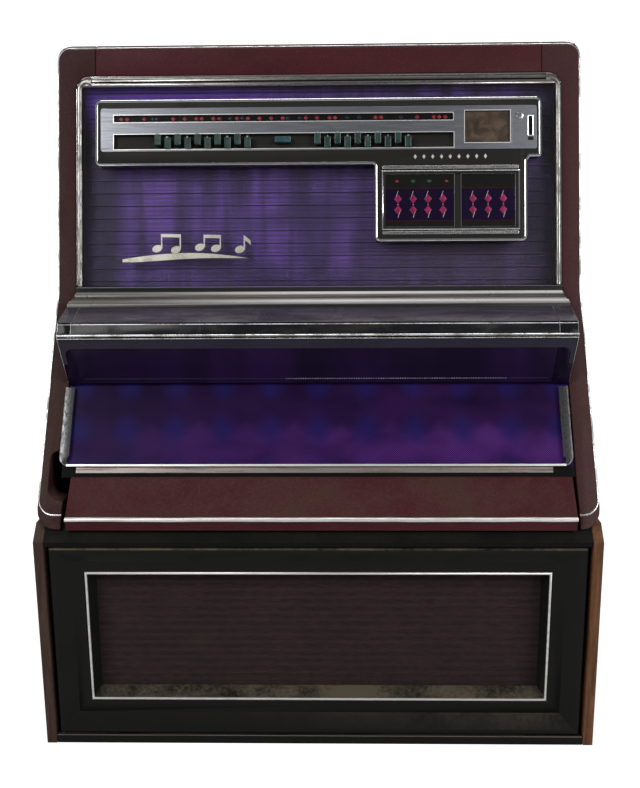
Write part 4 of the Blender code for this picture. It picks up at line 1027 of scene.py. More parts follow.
def makeStroke(shape):
    # a long stroke under the notes, which swells and tapers
    look = emblemLook
    wide = look["right"] - look["left"]
    tall = look["head"] - look["foot"]
    upper = []
    lower = []
    for step in range(look["strokeSteps"] + 1):
        share = step / look["strokeSteps"]
        x = look["left"] + wide * share
        middle = look["foot"] + tall * (0.12 + 0.10 * math.sin(math.pi * (share * 1.25 - 0.2)))
        swell = math.sin(math.pi * min(1, 0.06 + share)) ** 0.6
        half = look["strokeHalf"] * swell * (1 - share * look["strokeTaperShare"])
        upper.append((x, middle + half))
        lower.append((x, middle - half))
    outline = lower + list(reversed(upper))
    addPlate(shape, outline, look["back"], look["front"] - 3 * look["layer"], onUpper)


def makeEmblem():
    # plain cast ornament: a row of notes over a long tapering stroke
    shape = bmesh.new()
    makeNotes(shape)
    makeStroke(shape)
    mesh = finishMesh(shape, "glassEmblem")
    emblem = addPiece("glassEmblem", mesh, metal["emblemCream"], "lid")
    softEdges(emblem, emblemLook["edge"], 2)


makeEmblem()


# Control housing

print("scene: control housing")
controlLook = {
    "front": 0.022,
    "housingEdge": 0.0006,
    "fasciaEdge": 0.0005,
    "left": -0.4335,
    "right": 0.4335,
    "top": 0.3733,
    "foot": 0.2466,
    "dropLeft": 0.1122,
    "dropRight": 0.4056,
    "dropFoot": 0.0962,
    "rightFoot": 0.2593,
    "chamferAcross": 0.006,
    "chamferDown": 0.008,
    "corner": 0.010,
    "smallCorner": 0.005,
    "chamferCorner": 0.003,
    "rimWidth": 0.0036,
    "rimProud": 0.0011,
    "rimDepth": 0.004,
    "plateFront": 0.0238,
}


def controlOutline():
    look = controlLook
    points = [
        (look["left"], look["foot"]),
        (look["dropLeft"], look["foot"]),
        (look["dropLeft"], look["dropFoot"]),
        (look["dropRight"], look["dropFoot"]),
        (look["dropRight"], look["rightFoot"] - look["chamferDown"]),
        (look["dropRight"] + look["chamferAcross"], look["rightFoot"]),
        (look["right"], look["rightFoot"]),
        (look["right"], look["top"]),
        (look["left"], look["top"]),
    ]
    wide, small, cut = look["corner"], look["smallCorner"], look["chamferCorner"]
    return roundCorners(points, [wide, small, wide, wide, cut, cut, small, wide, wide])


def makeControlRim():
    width = controlLook["rimWidth"]
    low = controlLook["front"] - controlLook["rimDepth"]
    high = controlLook["front"] + controlLook["rimProud"]
    profile = [(-0.0005, low), (-0.0007, high - 0.0008), (0.0002, high), (width * 0.7, high),
               (width, high - 0.0006), (width, low)]
    addRim("controlRim", controlOutline(), profile, onUpper, metal["brightChrome"])


makeControlRim()
softCopy(
    "control_housing", paint["housingBlack"], "lid", controlLook["housingEdge"], 2
)
fascia = softCopy(
    "control_fascia", metal["brushedPlate"], "lid", controlLook["fasciaEdge"], 2
)
fascia.data.shade_flat()

coinLook = {
    "blockLeft": 0.4020,
    "blockBack": -0.0017,
    "blockCorners": (0, 0.005, 0.010, 0),
    "plate": (0.3768, 0.4252, 0.2731, 0.3576),
    "plateCorner": 0.0045,
    "plateSunk": 0.0004,
    "plateProud": 0.0002,
    "plateEdge": 0.0005,
    "base": 0.0236,
    "slot": (0.4074, 0.4188, 0.2975, 0.3375),
    "slotCorner": 0.0008,
    "slotProfile": ((0, 0.0236), (0.0002, 0.0254), (0.0009, 0.0258), (0.0017, 0.0254), (0.0019, 0.0236)),
    "dark": (0.4090, 0.4172, 0.2990, 0.3360),
    "darkTop": 0.0241,
    "lamp": (0.4078, 0.4184, 0.2895, 0.2962),
    "lampCorner": 0.0010,
    "lampTop": 0.0246,
    "button": (0.3905, 0.3375),
    "collarRadius": 0.0084,
    "collarSides": 24,
    "collarProfile": ((0, 0.0236), (0.0004, 0.0248), (0.0016, 0.0250), (0.0024, 0.0246), (0.0024, 0.0236)),
}


def makeCoinBlock():
    # the housing's right end: black like the rest, with the end of the bright plate let over it
    look = coinLook
    outline = rectangle(
        look["blockLeft"], controlLook["right"], controlLook["rightFoot"], controlLook["top"]
    )
    outline = roundCorners(outline, look["blockCorners"])
    high = controlLook["front"]
    block = addOnFace(
        "coinBlockBody", outline, look["blockBack"], high, onUpper, paint["housingBlack"]
    )
    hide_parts("coin_block")
    corner = look["plateCorner"]
    outline = roundCorners(rectangle(*look["plate"]), [0, corner, corner, 0], 4)
    low = controlLook["front"] - look["plateSunk"]
    high = controlLook["plateFront"] + look["plateProud"]
    plate = addOnFace("coinPlate", outline, low, high, onUpper, metal["brushedPlate"])
    softEdges(plate, look["plateEdge"])


makeCoinBlock()

frameLines = {
    "width": 0.0013,
    "proud": 0.0007,
    "sunk": 0.0002,
    "depth": 0.0014,
    "legendFrame": (-0.3977, 0.2635, 0.3301, 0.3438),
    "keyFrame": (-0.3977, 0.2645, 0.2772, 0.3063),
    "priceFrame": (0.2861, 0.3736, 0.2858, 0.3477),
}


def makeFrames():
    # thin bright lips round the openings of the plate
    line = frameLines["width"]
    top = controlLook["plateFront"]
    high = top + frameLines["proud"]
    profile = [(0, top - frameLines["sunk"]), (0, high), (line, high), (line, top - frameLines["depth"])]
    for name in ("legendFrame", "keyFrame", "priceFrame"):
        left, right, low, high = frameLines[name]
        outline = rectangle(left - line, right + line, low - line, high + line)
        addRim(name, outline, profile, onUpper, metal["silverStrip"])


makeFrames()

picture = {"pixel": 0.001965, "middleColumn": 315.4, "footRow": 394, "footAlong": -0.2044}


def photoSpot(column, row):  # a place on the upper face, by the picture's columns and rows
    along = (picture["footRow"] - row) * picture["pixel"] + picture["footAlong"]
    return ((column - picture["middleColumn"]) * picture["pixel"], along)


def photoRectangle(left, right, lowRow, highRow, grow=0.0):
    low = photoSpot(left, lowRow)
    high = photoSpot(right, highRow)
    return rectangle(low[0] - grow, high[0] + grow, low[1] - grow, high[1] + grow)


def addDiamonds(name, places, half, low, rise, finish):
    # flat diamonds with bevelled sides, all of one size
    shape = bmesh.new()
    for x, y in places:
        rings = []
        for share, proud in ((1.0, low), (0.8, low + rise)):
            wide, tall = half[0] * share, half[1] * share
            points = ((x + wide, y), (x, y + tall), (x - wide, y), (x, y - tall))
            rings.append([onUpper(pointX, pointY, proud) for pointX, pointY in points])
        addPrism(shape, *rings)
    addPiece(name, finishMesh(shape, name), finish, "lid")


legendLook = {
    "strip": (-0.3973, 0.2631, 0.3305, 0.3434),
    "low": 0.0191,
    "high": 0.0200,
    "along": 0.33695,
    "half": (0.0044, 0.0044),
    "rise": 0.0003,
    "redColumns": (120, 126, 143, 172, 183.5, 195, 200.5, 212, 218, 235.5, 246.5, 258, 269.5, 281, 304,
                   315, 327.5, 333, 373, 378.5, 414, 430.5, 436, 442),
    "blueColumns": (152, 156, 229, 241, 286, 298, 345, 357, 398),
}


def makeLegend():
    # a dark strip of coloured diamonds over the keys
    look = legendLook
    strip = rectangle(*look["strip"])
    addOnFace(
        "legendStrip", strip, look["low"], look["high"], onUpper, paint["legendBlack"]
    )
    prints = (("legendRed", "redColumns", "redInk"), ("legendBlue", "blueColumns", "blueInk"))
    for name, key, finish in prints:
        places = [(photoSpot(column, 0)[0], look["along"]) for column in look[key]]
        addDiamonds(name, places, look["half"], look["high"], look["rise"], ink[finish])


makeLegend()

cardLook = {
    "place": (0.2864, 0.3733, 0.2861, 0.3474),
    "low": 0.0181,
    "high": 0.0195,
    "dark": (0.030, 0.019, 0.012),
    "light": (0.098, 0.062, 0.038),
}


def cardMaterial():
    # browned paper behind a clear sheet
    material, tree, shader = newMaterial("priceCard", Coat_Weight=0.6, Coat_Roughness=0.12)
    blotch = cloudNoise(tree, objectPlace(tree), 38, 8, Distortion=0.8)
    base = mixColour(tree, ramp(tree, blotch, 0.32, 0.70), (*cardLook["dark"], 1), (*cardLook["light"], 1))
    worn = useGroup(tree, grime, {"Color": base, "Dust": 0.2, "Dirt": 0.5, "Scale": 40.0})
    setBase(tree, shader, worn["Color"])
    setGloss(tree, shader, 0.4, 0.3)
    bumpInto(tree, shader, blotch, 0.0004, 0.4)
    return material


card = rectangle(*cardLook["place"])
addOnFace(
    "priceCard", card, cardLook["low"], cardLook["high"], onUpper, cardMaterial()
)

keyLook = {
    "count": 20,
    "green": ((0.012, 0.030, 0.026), (0.026, 0.066, 0.056)),
    "teal": ((0.018, 0.070, 0.080), (0.036, 0.120, 0.125)),
    "markHigh": 0.0034,
    "markLow": 0.0066,
    "markHalf": 0.0010,
    "markStep": 0.0006,
    "markSunk": 0.0002,
    "markProud": 0.00015,
}
keyNames = ["selector_key_%02d" % number for number in range(1, keyLook["count"] + 1)]


def keyMaterial(name, colour, light):
    # dusty coloured plastic
    material, tree, shader = newMaterial(name, 0.4, Coat_Weight=0.05, Coat_Roughness=0.2)
    cloud = cloudNoise(tree, objectPlace(tree), 70, 5)
    tone = mixColour(tree, ramp(tree, cloud, 0.35, 0.68), (*colour, 1), (*light, 1))
    worn = useGroup(tree, grime, {"Color": tone, "Dust": 0.25, "Dirt": 0.6, "Scale": 60.0})
    setBase(tree, shader, worn["Color"])
    setGloss(tree, shader, 0.28, 0.3, Scale=60.0)
    bumpInto(tree, shader, cloud, 0.0001, 0.3)
    return material


greenKey = keyMaterial("greenKey", *keyLook["green"])
for nodeName in keyNames:
    setFinish(nodeName, greenKey)
setFinish("reset_key", keyMaterial("tealKey", *keyLook["teal"]))
setFinish("reject_button", metal["brightChrome"])


def makeKeyMarks():
    # a small plain mark near the head of each key
    look = keyLook
    for number, name in enumerate(keyNames, 1):
        key = nodes[name]
        corners = [upperFace.inverted() @ (key.matrix_world @ Vector(corner)) for corner in key.bound_box]
        middle = sum(corner.x for corner in corners) / len(corners)
        top = max(corner.z for corner in corners)
        face = -min(corner.y for corner in corners)
        half = look["markHalf"] + look["markStep"] * (number % 3)
        mark = rectangle(middle - half, middle + half, top - look["markLow"], top - look["markHigh"])
        mesh = plateMesh(name + "Mark", mark, face - look["markSunk"], face + look["markProud"], onUpper)
        addPiece(name + "Mark", mesh, ink["glyphInk"], name)


makeKeyMarks()


def makeCoinFittings():
    # the slot with its bright frame and black painted shade inside it, the small window under it, and the
    # button's collar
    look = coinLook
    slot = roundCorners(rectangle(*look["slot"]), [look["slotCorner"]] * 4, 2)
    dark = rectangle(*look["dark"])
    low = look["base"]
    addOnFace("coinSlotDark", dark, low, look["darkTop"], onUpper, paint["gapBlack"])
    addRim("coinSlotFrame", slot, look["slotProfile"], onUpper, metal["brightChrome"])
    lamp = roundCorners(rectangle(*look["lamp"]), [look["lampCorner"]] * 4, 3)
    addOnFace("coinLamp", lamp, low, look["lampTop"], onUpper, paint["housingBlack"])
    collar = []
    for step in range(look["collarSides"]):
        turn = math.tau * step / look["collarSides"]
        collar.append(Vector((look["button"][0] + look["collarRadius"] * math.cos(turn),
                              look["button"][1] + look["collarRadius"] * math.sin(turn))))
    addRim("buttonCollar", collar, look["collarProfile"], onUpper, metal["brightChrome"])


makeCoinFittings()

pipLook = {
    "count": 9,
    "first": 0.1900,
    "pitch": 0.0170,
    "along": 0.2594,
    "half": (0.0034, 0.0052),
    "low": 0.0219,
    "rise": 0.0006,
}
pipPlaces = []
for step in range(pipLook["count"]):
    pipPlaces.append((pipLook["first"] + step * pipLook["pitch"], pipLook["along"]))
addDiamonds(
    "panelPips", pipPlaces, pipLook["half"], pipLook["low"], pipLook["rise"], metal["silverStrip"]
)


# Credit windows

print("scene: credit windows")
creditLook = {
    "olive": (0.0095, 0.0095, 0.0090),
    "violet": (0.0080, 0.0035, 0.0200),
    "line": (0.038, 0.005, 0.012),
    "bandRows": (190.0, 220.8),
    "bandSoft": 0.001,
    "upperLineUp": 0.0024,
    "lowerLineDown": 0.0006,
    "lineRamp": (0.0012, 0.0004),
    "windows": {"creditWindowLeft": (382.5, 450.5), "creditWindowRight": (457.5, 510.5)},
    "windowRows": (227.0, 175.0),
    "low": 0.0193,
    "high": 0.0200,
    "lineProfile": ((0, 0.0192), (0, 0.0208), (0.0010, 0.0208), (0.0014, 0.0192)),
    "lineGrow": 0.0010,
    "frame": (379.0, 515.0, 230.5, 171.6),
    "frameProfile": ((0, 0.0200), (0, 0.0238), (0.0012, 0.0246), (0.0026, 0.0240), (0.0032, 0.0200)),
    "bars": {"creditBarTop": (379.5, 514.0, 170.5, 167.0), "creditBarFoot": (379.5, 514.0, 235.0, 231.8)},
    "barLow": 0.0218,
    "barHigh": 0.0252,
    "barCorner": 0.002,
    "barEdge": 0.0010,
    "columns": (395, 410, 424.7, 439.5, 469, 484, 499),
    "rows": (199.5, 210.5),
    "half": (0.0072, 0.0096),
    "dotRow": 205,
    "dotHalf": (0.0018, 0.0010),
    "rise": 0.0004,
    "glints": ((195.2, 1), (214.8, -1)),
    "glint": ((-0.0046, -0.0062), (-0.0006, 0.0062), (0.0008, 0.0072), (-0.0028, -0.0040)),
    "glintLow": 0.0201,
    "glintHigh": 0.0207,
    "markRow": 182,
    "redMarks": (394, 443),
    "redHalf": (0.0036, 0.0030),
    "greenMarks": (410, 426),
    "greenHalf": (0.0050, 0.0038),
    "markRise": 0.0003,
}


def windowMaterial():
    # dark sheet with a violet band between two thin red lines
    look = creditLook
    material, tree, shader = newMaterial("creditWindow", 0.07)
    height = facePlace(tree, upperFace)[1]
    top, foot = [photoSpot(0, row)[1] for row in look["bandRows"]]
    soft = look["bandSoft"]
    underTop = ramp(tree, height, top + soft, top - soft)
    inBand = product(tree, underTop, ramp(tree, height, foot - soft, foot + soft))
    upper = ramp(tree, distanceTo(tree, height, top + look["upperLineUp"]), *look["lineRamp"])
    lower = ramp(tree, distanceTo(tree, height, foot - look["lowerLineDown"]), *look["lineRamp"])
    base = mixColour(tree, inBand, (*look["olive"], 1), (*look["violet"], 1))
    ruled = mixColour(tree, mathNode(tree, "MAXIMUM", upper, lower), base, (*look["line"], 1))
    worn = useGroup(tree, grime, {"Color": ruled, "Dust": 0.15, "Dirt": 0.3, "Scale": 30.0})
    setBase(tree, shader, worn["Color"])
    setGloss(tree, shader, 0.3, 0.2)
    return material


def makeWindowFrames():
    look = creditLook
    sheet = windowMaterial()
    for name, columns in look["windows"].items():
        outline = photoRectangle(*columns, *look["windowRows"])
        addOnFace(name, outline, look["low"], look["high"], onUpper, sheet)
        outline = photoRectangle(*columns, *look["windowRows"], look["lineGrow"])
        addRim(name + "Line", outline, look["lineProfile"], onUpper, metal["wornChrome"])
    outer = photoRectangle(*look["frame"])
    addRim("creditFrame", outer, look["frameProfile"], onUpper, metal["brightChrome"])
    for name, place in look["bars"].items():
        outline = roundCorners(photoRectangle(*place), [look["barCorner"]] * 4, 3)
        bar = addOnFace(
            name, outline, look["barLow"], look["barHigh"], onUpper, metal["wornChrome"]
        )
        softEdges(bar, look["barEdge"], 2)


def makeGlints():
    # a thin pale stroke beside each diamond's point, like a folded edge
    look = creditLook
    shape = bmesh.new()
    for column in look["columns"]:
        for row, turn in look["glints"]:
            x, along = photoSpot(column, row)
            corners = [(x + dx * turn, along + dy * turn) for dx, dy in look["glint"]]
            addPlate(shape, corners, look["glintLow"], look["glintHigh"], onUpper)
    addPiece("creditGlints", finishMesh(shape, "creditGlints"), ink["paleInk"], "lid")


def makeCreditPrint():
    # two rows of crimson diamonds with pale dots between, and small marks above the left ones
    look = creditLook
    places = [photoSpot(column, row) for column in look["columns"] for row in look["rows"]]
    addDiamonds("creditDiamonds", places, look["half"], look["high"], look["rise"], ink["crimsonInk"])
    places = [photoSpot(column, look["dotRow"]) for column in look["columns"]]
    addDiamonds("creditDots", places, look["dotHalf"], look["high"], look["rise"], ink["paleInk"])
    makeGlints()
    marks = {
        "creditMarksRed": (look["redMarks"], look["redHalf"], "redInk"),
        "creditMarksGreen": (look["greenMarks"], look["greenHalf"], "greenInk"),
    }
    for name, (columns, half, finish) in marks.items():
        places = [photoSpot(column, look["markRow"]) for column in columns]
        addDiamonds(name, places, half, look["high"], look["markRise"], ink[finish])


makeWindowFrames()
makeCreditPrint()
setFinish("credit_display", paint["housingBlack"])


# Ledge

print("scene: ledge")
ledgeLook = {
    "edge": 0.0008,
    "extrusionEdge": 0.0009,
    "half": 0.4763,
    "lines": {
        "topLine": (-0.2240, 0.7895, 0.0009),
        "footLine": (-0.2370, 0.7712, 0.0019),
        "lowLine": (-0.2355, 0.7650, 0.0008),
    },
    "jointLeft": -0.4520,
    "jointRight": 0.4430,
    "cheekBack": (-0.0750, 0.8332),
    "cheekEdge": (-0.2235, 0.7925),
    "cheekFoot": (-0.2335, 0.7640),
    "cheekHeel": (-0.1745, 0.6690),
    "cheekRadius": 0.0007,
    "jointRadius": 0.00045,
    "shelfTop": ((0.034, 0.026, 0.038), (0.115, 0.105, 0.120)),
    "shelfFront": ((0.0085, 0.0090, 0.0110), (0.040, 0.038, 0.036)),
    "shelfUnder": (0.0080, 0.0040, 0.0170),
}


def shelfMaterial():
    # smoked sheet: dusty towards the front of its top, dark and glossy down its front
    look = ledgeLook
    material, tree, shader = newMaterial("shelfPlastic", 0.16)
    place = objectPlace(tree)
    depthIn = addNode(tree, "SeparateXYZ", {0: place}).outputs["Y"]
    upward = facing(tree)
    streak = cloudNoise(tree, stretched(tree, place, (7, 30, 30)), 1.0, 6, Roughness=0.65)
    forward = ramp(tree, depthIn, -0.165, -0.222)
    dust = product(tree, ramp(tree, streak, 0.30, 0.72), mathNode(tree, "ADD", forward, 0.25), True)
    clean, dusty = look["shelfTop"]
    top = mixColour(tree, product(tree, dust, 0.85), (*clean, 1), (*dusty, 1))
    smear = product(tree, ramp(tree, streak, 0.48, 0.75), 0.6)
    clean, dusty = look["shelfFront"]
    down = mixColour(tree, smear, (*clean, 1), (*dusty, 1))
    sides = mixColour(tree, ramp(tree, upward, -0.15, -0.40), down, (*look["shelfUnder"], 1))
    setBase(tree, shader, mixColour(tree, ramp(tree, upward, 0.72, 0.90), sides, top))
    gloss = setGloss(tree, shader, 0.16, 0.3)
    bumpInto(tree, shader, gloss["Height"], 0.00005, 0.3)
    return material


extrusionLook = {
    "noseReflectionLeft": (0.19, 0.195, 0.175),
    "noseReflectionRight": (0.95, 0.94, 0.92),
    "noseAcross": (-0.42, 0.08),
    "noseHighlightBands": ((-0.0935, -0.0812, 0.0025), (-0.1480, -0.1230, 0.0100)),
    "dull": ((0.040, 0.033, 0.030), (0.13, 0.11, 0.095)),
    "backStart": (-0.0810, -0.0802),
    "backHighlightEdge": (0.8405, 0.8412),
    "back": ((0.022, 0.022, 0.024), (0.33, 0.33, 0.34)),
    "frontStart": (-0.1525, -0.1535),
    "front": (0.020, 0.018, 0.018),
}


def sillMaterial():
    # stepped metal: a dark glassy back tread with a painted highlight along its top edge, a nose and a front
    # tread painted bright with a reflection that grows from left to right, and dull middle treads
    look = extrusionLook
    material, tree, shader = newMaterial("sillAluminium", 0.35, Metallic=0.25)
    place = objectPlace(tree)
    parts = addNode(tree, "SeparateXYZ", {0: place}).outputs
    streak = cloudNoise(tree, stretched(tree, place, (3, 90, 90)), 1.0, 5, Roughness=0.6)
    wide = cloudNoise(tree, place, 7, 4)
    # painted reflection: the nose and the front tread brighten from left to right
    rightward = ramp(tree, parts["X"], *look["noseAcross"])
    noseReflection = mixColour(tree, rightward, (*look["noseReflectionLeft"], 1), (*look["noseReflectionRight"], 1))
    dark, light = look["dull"]
    dull = mixColour(tree, ramp(tree, streak, 0.35, 0.65), (*dark, 1), (*light, 1))
    bands = [bandMask(tree, parts["Y"], *band) for band in look["noseHighlightBands"]]
    toned = mixColour(tree, product(tree, mathNode(tree, "MAXIMUM", *bands), 0.94), dull, noseReflection)
    dark, light = look["back"]
    # painted highlight along the top edge of the back tread
    backToneAndHighlight = mixColour(tree, ramp(tree, parts["Z"], *look["backHighlightEdge"]), (*dark, 1), (*light, 1))
    shaded = mixColour(tree, ramp(tree, parts["Y"], *look["backStart"]), toned, backToneAndHighlight)
    lip = ramp(tree, parts["Y"], *look["frontStart"])
    setBase(tree, shader, mixColour(tree, lip, shaded, (*look["front"], 1)))
    tree.links.new(mathNode(tree, "ADD", 0.16, product(tree, wide, 0.28)), shader.inputs["Roughness"])
    bumpInto(tree, shader, streak, 0.00003, 0.4)
    return material


shelfPlastic = shelfMaterial()
softCopy(
    "ledge_extrusion", sillMaterial(), "lid", ledgeLook["extrusionEdge"], 3
)
softCopy("ledge_shelf", shelfPlastic, "lid", ledgeLook["edge"], 3)
softCopy("ledge_end_left", shelfPlastic, "lid", ledgeLook["edge"], 2)
softCopy("ledge_end_right", shelfPlastic, "lid", ledgeLook["edge"], 2)


def roundBar(y, z, radius, steps=10):
    turns = [math.tau * step / steps for step in range(steps)]
    return [(y + radius * math.cos(turn), z + radius * math.sin(turn)) for turn in turns]


def barMesh(name, start, end, radius, sides=6):
    # a thin round bar between two places
    shape = bmesh.new()
    aim = (end - start).to_track_quat("Z", "Y")
    rings = []
    for middle in (start, end):
        ring = []
        for step in range(sides):
            angle = math.tau * step / sides
            reach = aim @ Vector((radius * math.cos(angle), radius * math.sin(angle), 0))
            ring.append(shape.verts.new(middle + reach))
        rings.append(ring)
    for step in range(sides):
        after = (step + 1) % sides
        shape.faces.new((rings[0][step], rings[0][after], rings[1][after], rings[1][step]))
    shape.faces.new(rings[0])
    shape.faces.new(list(reversed(rings[1])))
    return finishMesh(shape, name)


def makeLedgeLines():
    # bright lines along the shelf's front
    half = ledgeLook["half"]
    for label, place in ledgeLook["lines"].items():
        mesh = longMesh("ledge" + label, roundBar(*place), -half, half)
        addPiece("ledge" + label, mesh, metal["wornChrome"], "lid")


def makeCheekLines():
    # bright polished edges of the clear cheeks, and their joints with the middle
    look = ledgeLook
    back, edge, foot, heel = [
        Vector((0, *look[name])) for name in ("cheekBack", "cheekEdge", "cheekFoot", "cheekHeel")
    ]
    strokes = {"Top": (back, edge), "Side": (edge, foot), "Foot": (foot, heel)}
    ends = {"Left": -look["half"], "Right": look["half"]}
    joints = {"Left": look["jointLeft"], "Right": look["jointRight"]}
    for kind, places, labels, radius, finish in (
        ("cheek", ends, ("Top", "Side", "Foot"), look["cheekRadius"], metal["wornChrome"]),
        ("joint", joints, ("Top", "Side"), look["jointRadius"], metal["zincSteel"]),
    ):
        for side, x in places.items():
            for label in labels:
                start, end = [point + Vector((x, 0, 0)) for point in strokes[label]]
                name = kind + side + label
                addPiece(name, barMesh(name, start, end, radius), finish, "lid")


makeLedgeLines()
makeCheekLines()


# Lower window

print("scene: lower window")
displayLook = {
    "violet": (0.0150, 0.0050, 0.040),
    "mesh": (0.125, 0.032, 0.235),
    "blue": (0.012, 0.013, 0.120),
    "dark": (0.0088, 0.0032, 0.0210),
    "meshPitch": 0.0040,
    "meshWidth": 0.0014,
    "spotPitch": 0.0905,
    "spotStart": 0.0020,
    "spotRadius": 0.036,
    "spotCore": 0.004,
    "spotLevels": (-0.192, -0.281, -0.366),
    "peaks": (-0.280, -0.312),
    "lit": (-0.20, -0.34),
}


def displayMaterial():
    # woven violet sheet with a row of dim blue lamps behind it
    look = displayLook
    material, tree, shader = newMaterial("displayViolet", 0.05)
    across, height, turned = facePlace(tree, lowerFace)
    pitch = look["meshPitch"]
    first = stripeMask(tree, mathNode(tree, "ADD", across, height), pitch, 0.0, look["meshWidth"])
    second = stripeMask(tree, mathNode(tree, "SUBTRACT", across, height), pitch, 0.0, look["meshWidth"])
    crossed = mathNode(tree, "MAXIMUM", first, product(tree, second, 0.4))
    patch = cloudNoise(tree, stretched(tree, turned, (5, 1, 9)), 1.3, 3)
    shifted = mathNode(tree, "SUBTRACT", across, look["spotStart"])
    shares = mathNode(tree, "DIVIDE", shifted, look["spotPitch"])
    cell = mathNode(tree, "FRACT", mathNode(tree, "ADD", shares, 0.5))
    sideways = product(tree, mathNode(tree, "SUBTRACT", cell, 0.5), look["spotPitch"])
    # the woven pattern glows below a zigzag whose peaks lie between the lamps
    zigzag = mathNode(tree, "SUBTRACT", height, product(tree, mathNode(tree, "ABSOLUTE", sideways), 0.6))
    strength = mathNode(tree, "ADD", product(tree, ramp(tree, zigzag, *look["peaks"]), 0.75), 0.35)
    rightward = mathNode(tree, "ADD", ramp(tree, across, -0.45, 0.25), 0.45)
    lively = product(tree, ramp(tree, patch, 0.20, 0.72), rightward)
    hatch = product(tree, crossed, product(tree, strength, lively))
    spot = None
    for level in look["spotLevels"]:
        upward = product(tree, mathNode(tree, "SUBTRACT", height, level), 0.8)
        reach = addNode(tree, "CombineXYZ", {0: sideways, 1: upward}).outputs[0]
        length = addNode(tree, "VectorMath", {0: reach}, operation="LENGTH").outputs["Value"]
        mask = ramp(tree, length, look["spotRadius"], look["spotCore"])
        spot = mask if spot is None else mathNode(tree, "MAXIMUM", spot, mask)
    base = mixColour(tree, ramp(tree, height, *look["lit"]), (*look["dark"], 1), (*look["violet"], 1))
    meshed = mixColour(tree, product(tree, hatch, 0.75, True), base, (*look["mesh"], 1))
    setBase(tree, shader, mixColour(tree, product(tree, spot, 0.45), meshed, (*look["blue"], 1)))
    setGloss(tree, shader, 0.28, 0.2)
    bumpInto(tree, shader, mathNode(tree, "MAXIMUM", first, second), 0.0002, 0.3)
    return material


visorLook = {
    "dark": (0.0100, 0.0055, 0.0200),
    "light": (0.0205, 0.0078, 0.0460),
    "bandHalf": 0.4755,
    "bandHead": 0.001,
    "bandFoot": 0.0230,
    "bandLeg": 0.0075,
    "legFoot": 0.062,
    "bandCorner": 0.016,
    "bandLow": 0.0002,
    "bandHigh": 0.0008,
    "foldDown": 0.0995,
    "foldLeft": -0.4430,
    "foldRight": 0.4350,
    "foldHalf": 0.0005,
    "foldLow": -0.0002,
    "foldHigh": 0.0006,
    "beadStart": -0.06,
    "beadEnd": 0.36,
    "beadPitch": 0.0046,
    "beadLength": 0.0024,
    "beadHalf": 0.0009,
    "beadLow": 0.0002,
    "beadHigh": 0.0010,
}


def visorMaterial():
    # nearly black violet sheet, a little lighter in upright patches
    material, tree, shader = newMaterial("visorViolet", 0.10)
    cloud = cloudNoise(tree, stretched(tree, objectPlace(tree), (9, 1, 2)), 1.0, 4)
    patches = ramp(tree, cloud, 0.32, 0.70)
    setBase(tree, shader, mixColour(tree, patches, (*visorLook["dark"], 1), (*visorLook["light"], 1)))
    setGloss(tree, shader, 0.14, 0.14)
    return material


setFinish("display_panel", displayMaterial())
setFinish("visor_glass", visorMaterial())

displayTrim = {
    "foot": -0.3555,
    "left": -0.4810,
    "right": 0.4730,
    "top": -0.199,
    "width": 0.0170,
    "cornerRadius": 0.020,
    "footShare": 0.28,
    "growOver": 0.020,
    "base": -0.0030,
    "outerProud": 0.0034,
    "ridgeShare": 0.2,
    "ridgeProud": 0.0040,
    "innerProud": 0.0018,
    "edge": (0.0026, 0.0052, -0.0010, 6),
    "bead": (0.0014, 0.0040, -0.0010, 6),
    "beadShare": 0.93,
    "footInset": 0.014,
    "footLow": 0.0002,
    "footHigh": 0.0046,
    "footBack": 0.0034,
    "footFront": 0.0058,
    "footEdge": 0.0008,
    "sill": (-0.449, 0.435, -0.3662, -0.3550),
    "sillBack": -0.0030,
    "sillFront": -0.0004,
    "gapHalf": 0.4760,
    "gapFoot": -0.3742,
    "gapOverlap": 0.002,
    "gapBack": -0.0060,
    "gapFront": -0.0034,
}


def makeDisplayTrim():
    # bright U round the lower window, wide and dull up the sides, with a polished bead along both edges
    look = displayTrim
    left, right, top, foot = [look[name] for name in ("left", "right", "top", "foot")]
    corner = look["cornerRadius"]
    line = roundCorners([(left, top), (left, foot), (right, foot), (right, top)], [0, corner, corner, 0], 8)
    widths = []
    for point in line:
        rise = min(1, max(0, (point.y - foot) / look["growOver"]))
        widths.append(look["footShare"] + (1 - look["footShare"]) * rise)
    wide = look["width"]
    base = look["base"]
    band = [(0, base), (0, look["outerProud"]), (wide * look["ridgeShare"], look["ridgeProud"]),
            (wide, look["innerProud"]), (wide, base)]
    addRim("displayTrim", line, band, onLower, metal["cheekMetal"], closed=False, shares=widths)
    addRim("displayTrimEdge", line, halfRound(*look["edge"]), onLower, metal["silverStrip"], closed=False)
    inset = offsetLine(line, wide * look["beadShare"], closed=False, shares=widths)
    addRim("displayTrimBead", inset, halfRound(*look["bead"]), onLower, metal["zincSteel"], closed=False)
    run = rectangle(
        left + look["footInset"], right - look["footInset"], foot + look["footLow"], foot + look["footHigh"]
    )
    bar = addOnFace(
        "displayTrimFoot", run, look["footBack"], look["footFront"], onLower, metal["silverStrip"]
    )
    softEdges(bar, look["footEdge"], 3)


def makeDisplaySill():
    # worn flat strip under the window's foot, over a black strip of painted shade in the gap
    look = displayTrim
    low, high = look["sillBack"], look["sillFront"]
    addOnFace("displaySill", rectangle(*look["sill"]), low, high, onLower, metal["wornStrip"])
    half = look["gapHalf"]
    gap = rectangle(-half, half, look["gapFoot"], look["foot"] + look["gapOverlap"])
    low, high = look["gapBack"], look["gapFront"]
    addOnFace("displayGap", gap, low, high, onLower, paint["gapBlack"])


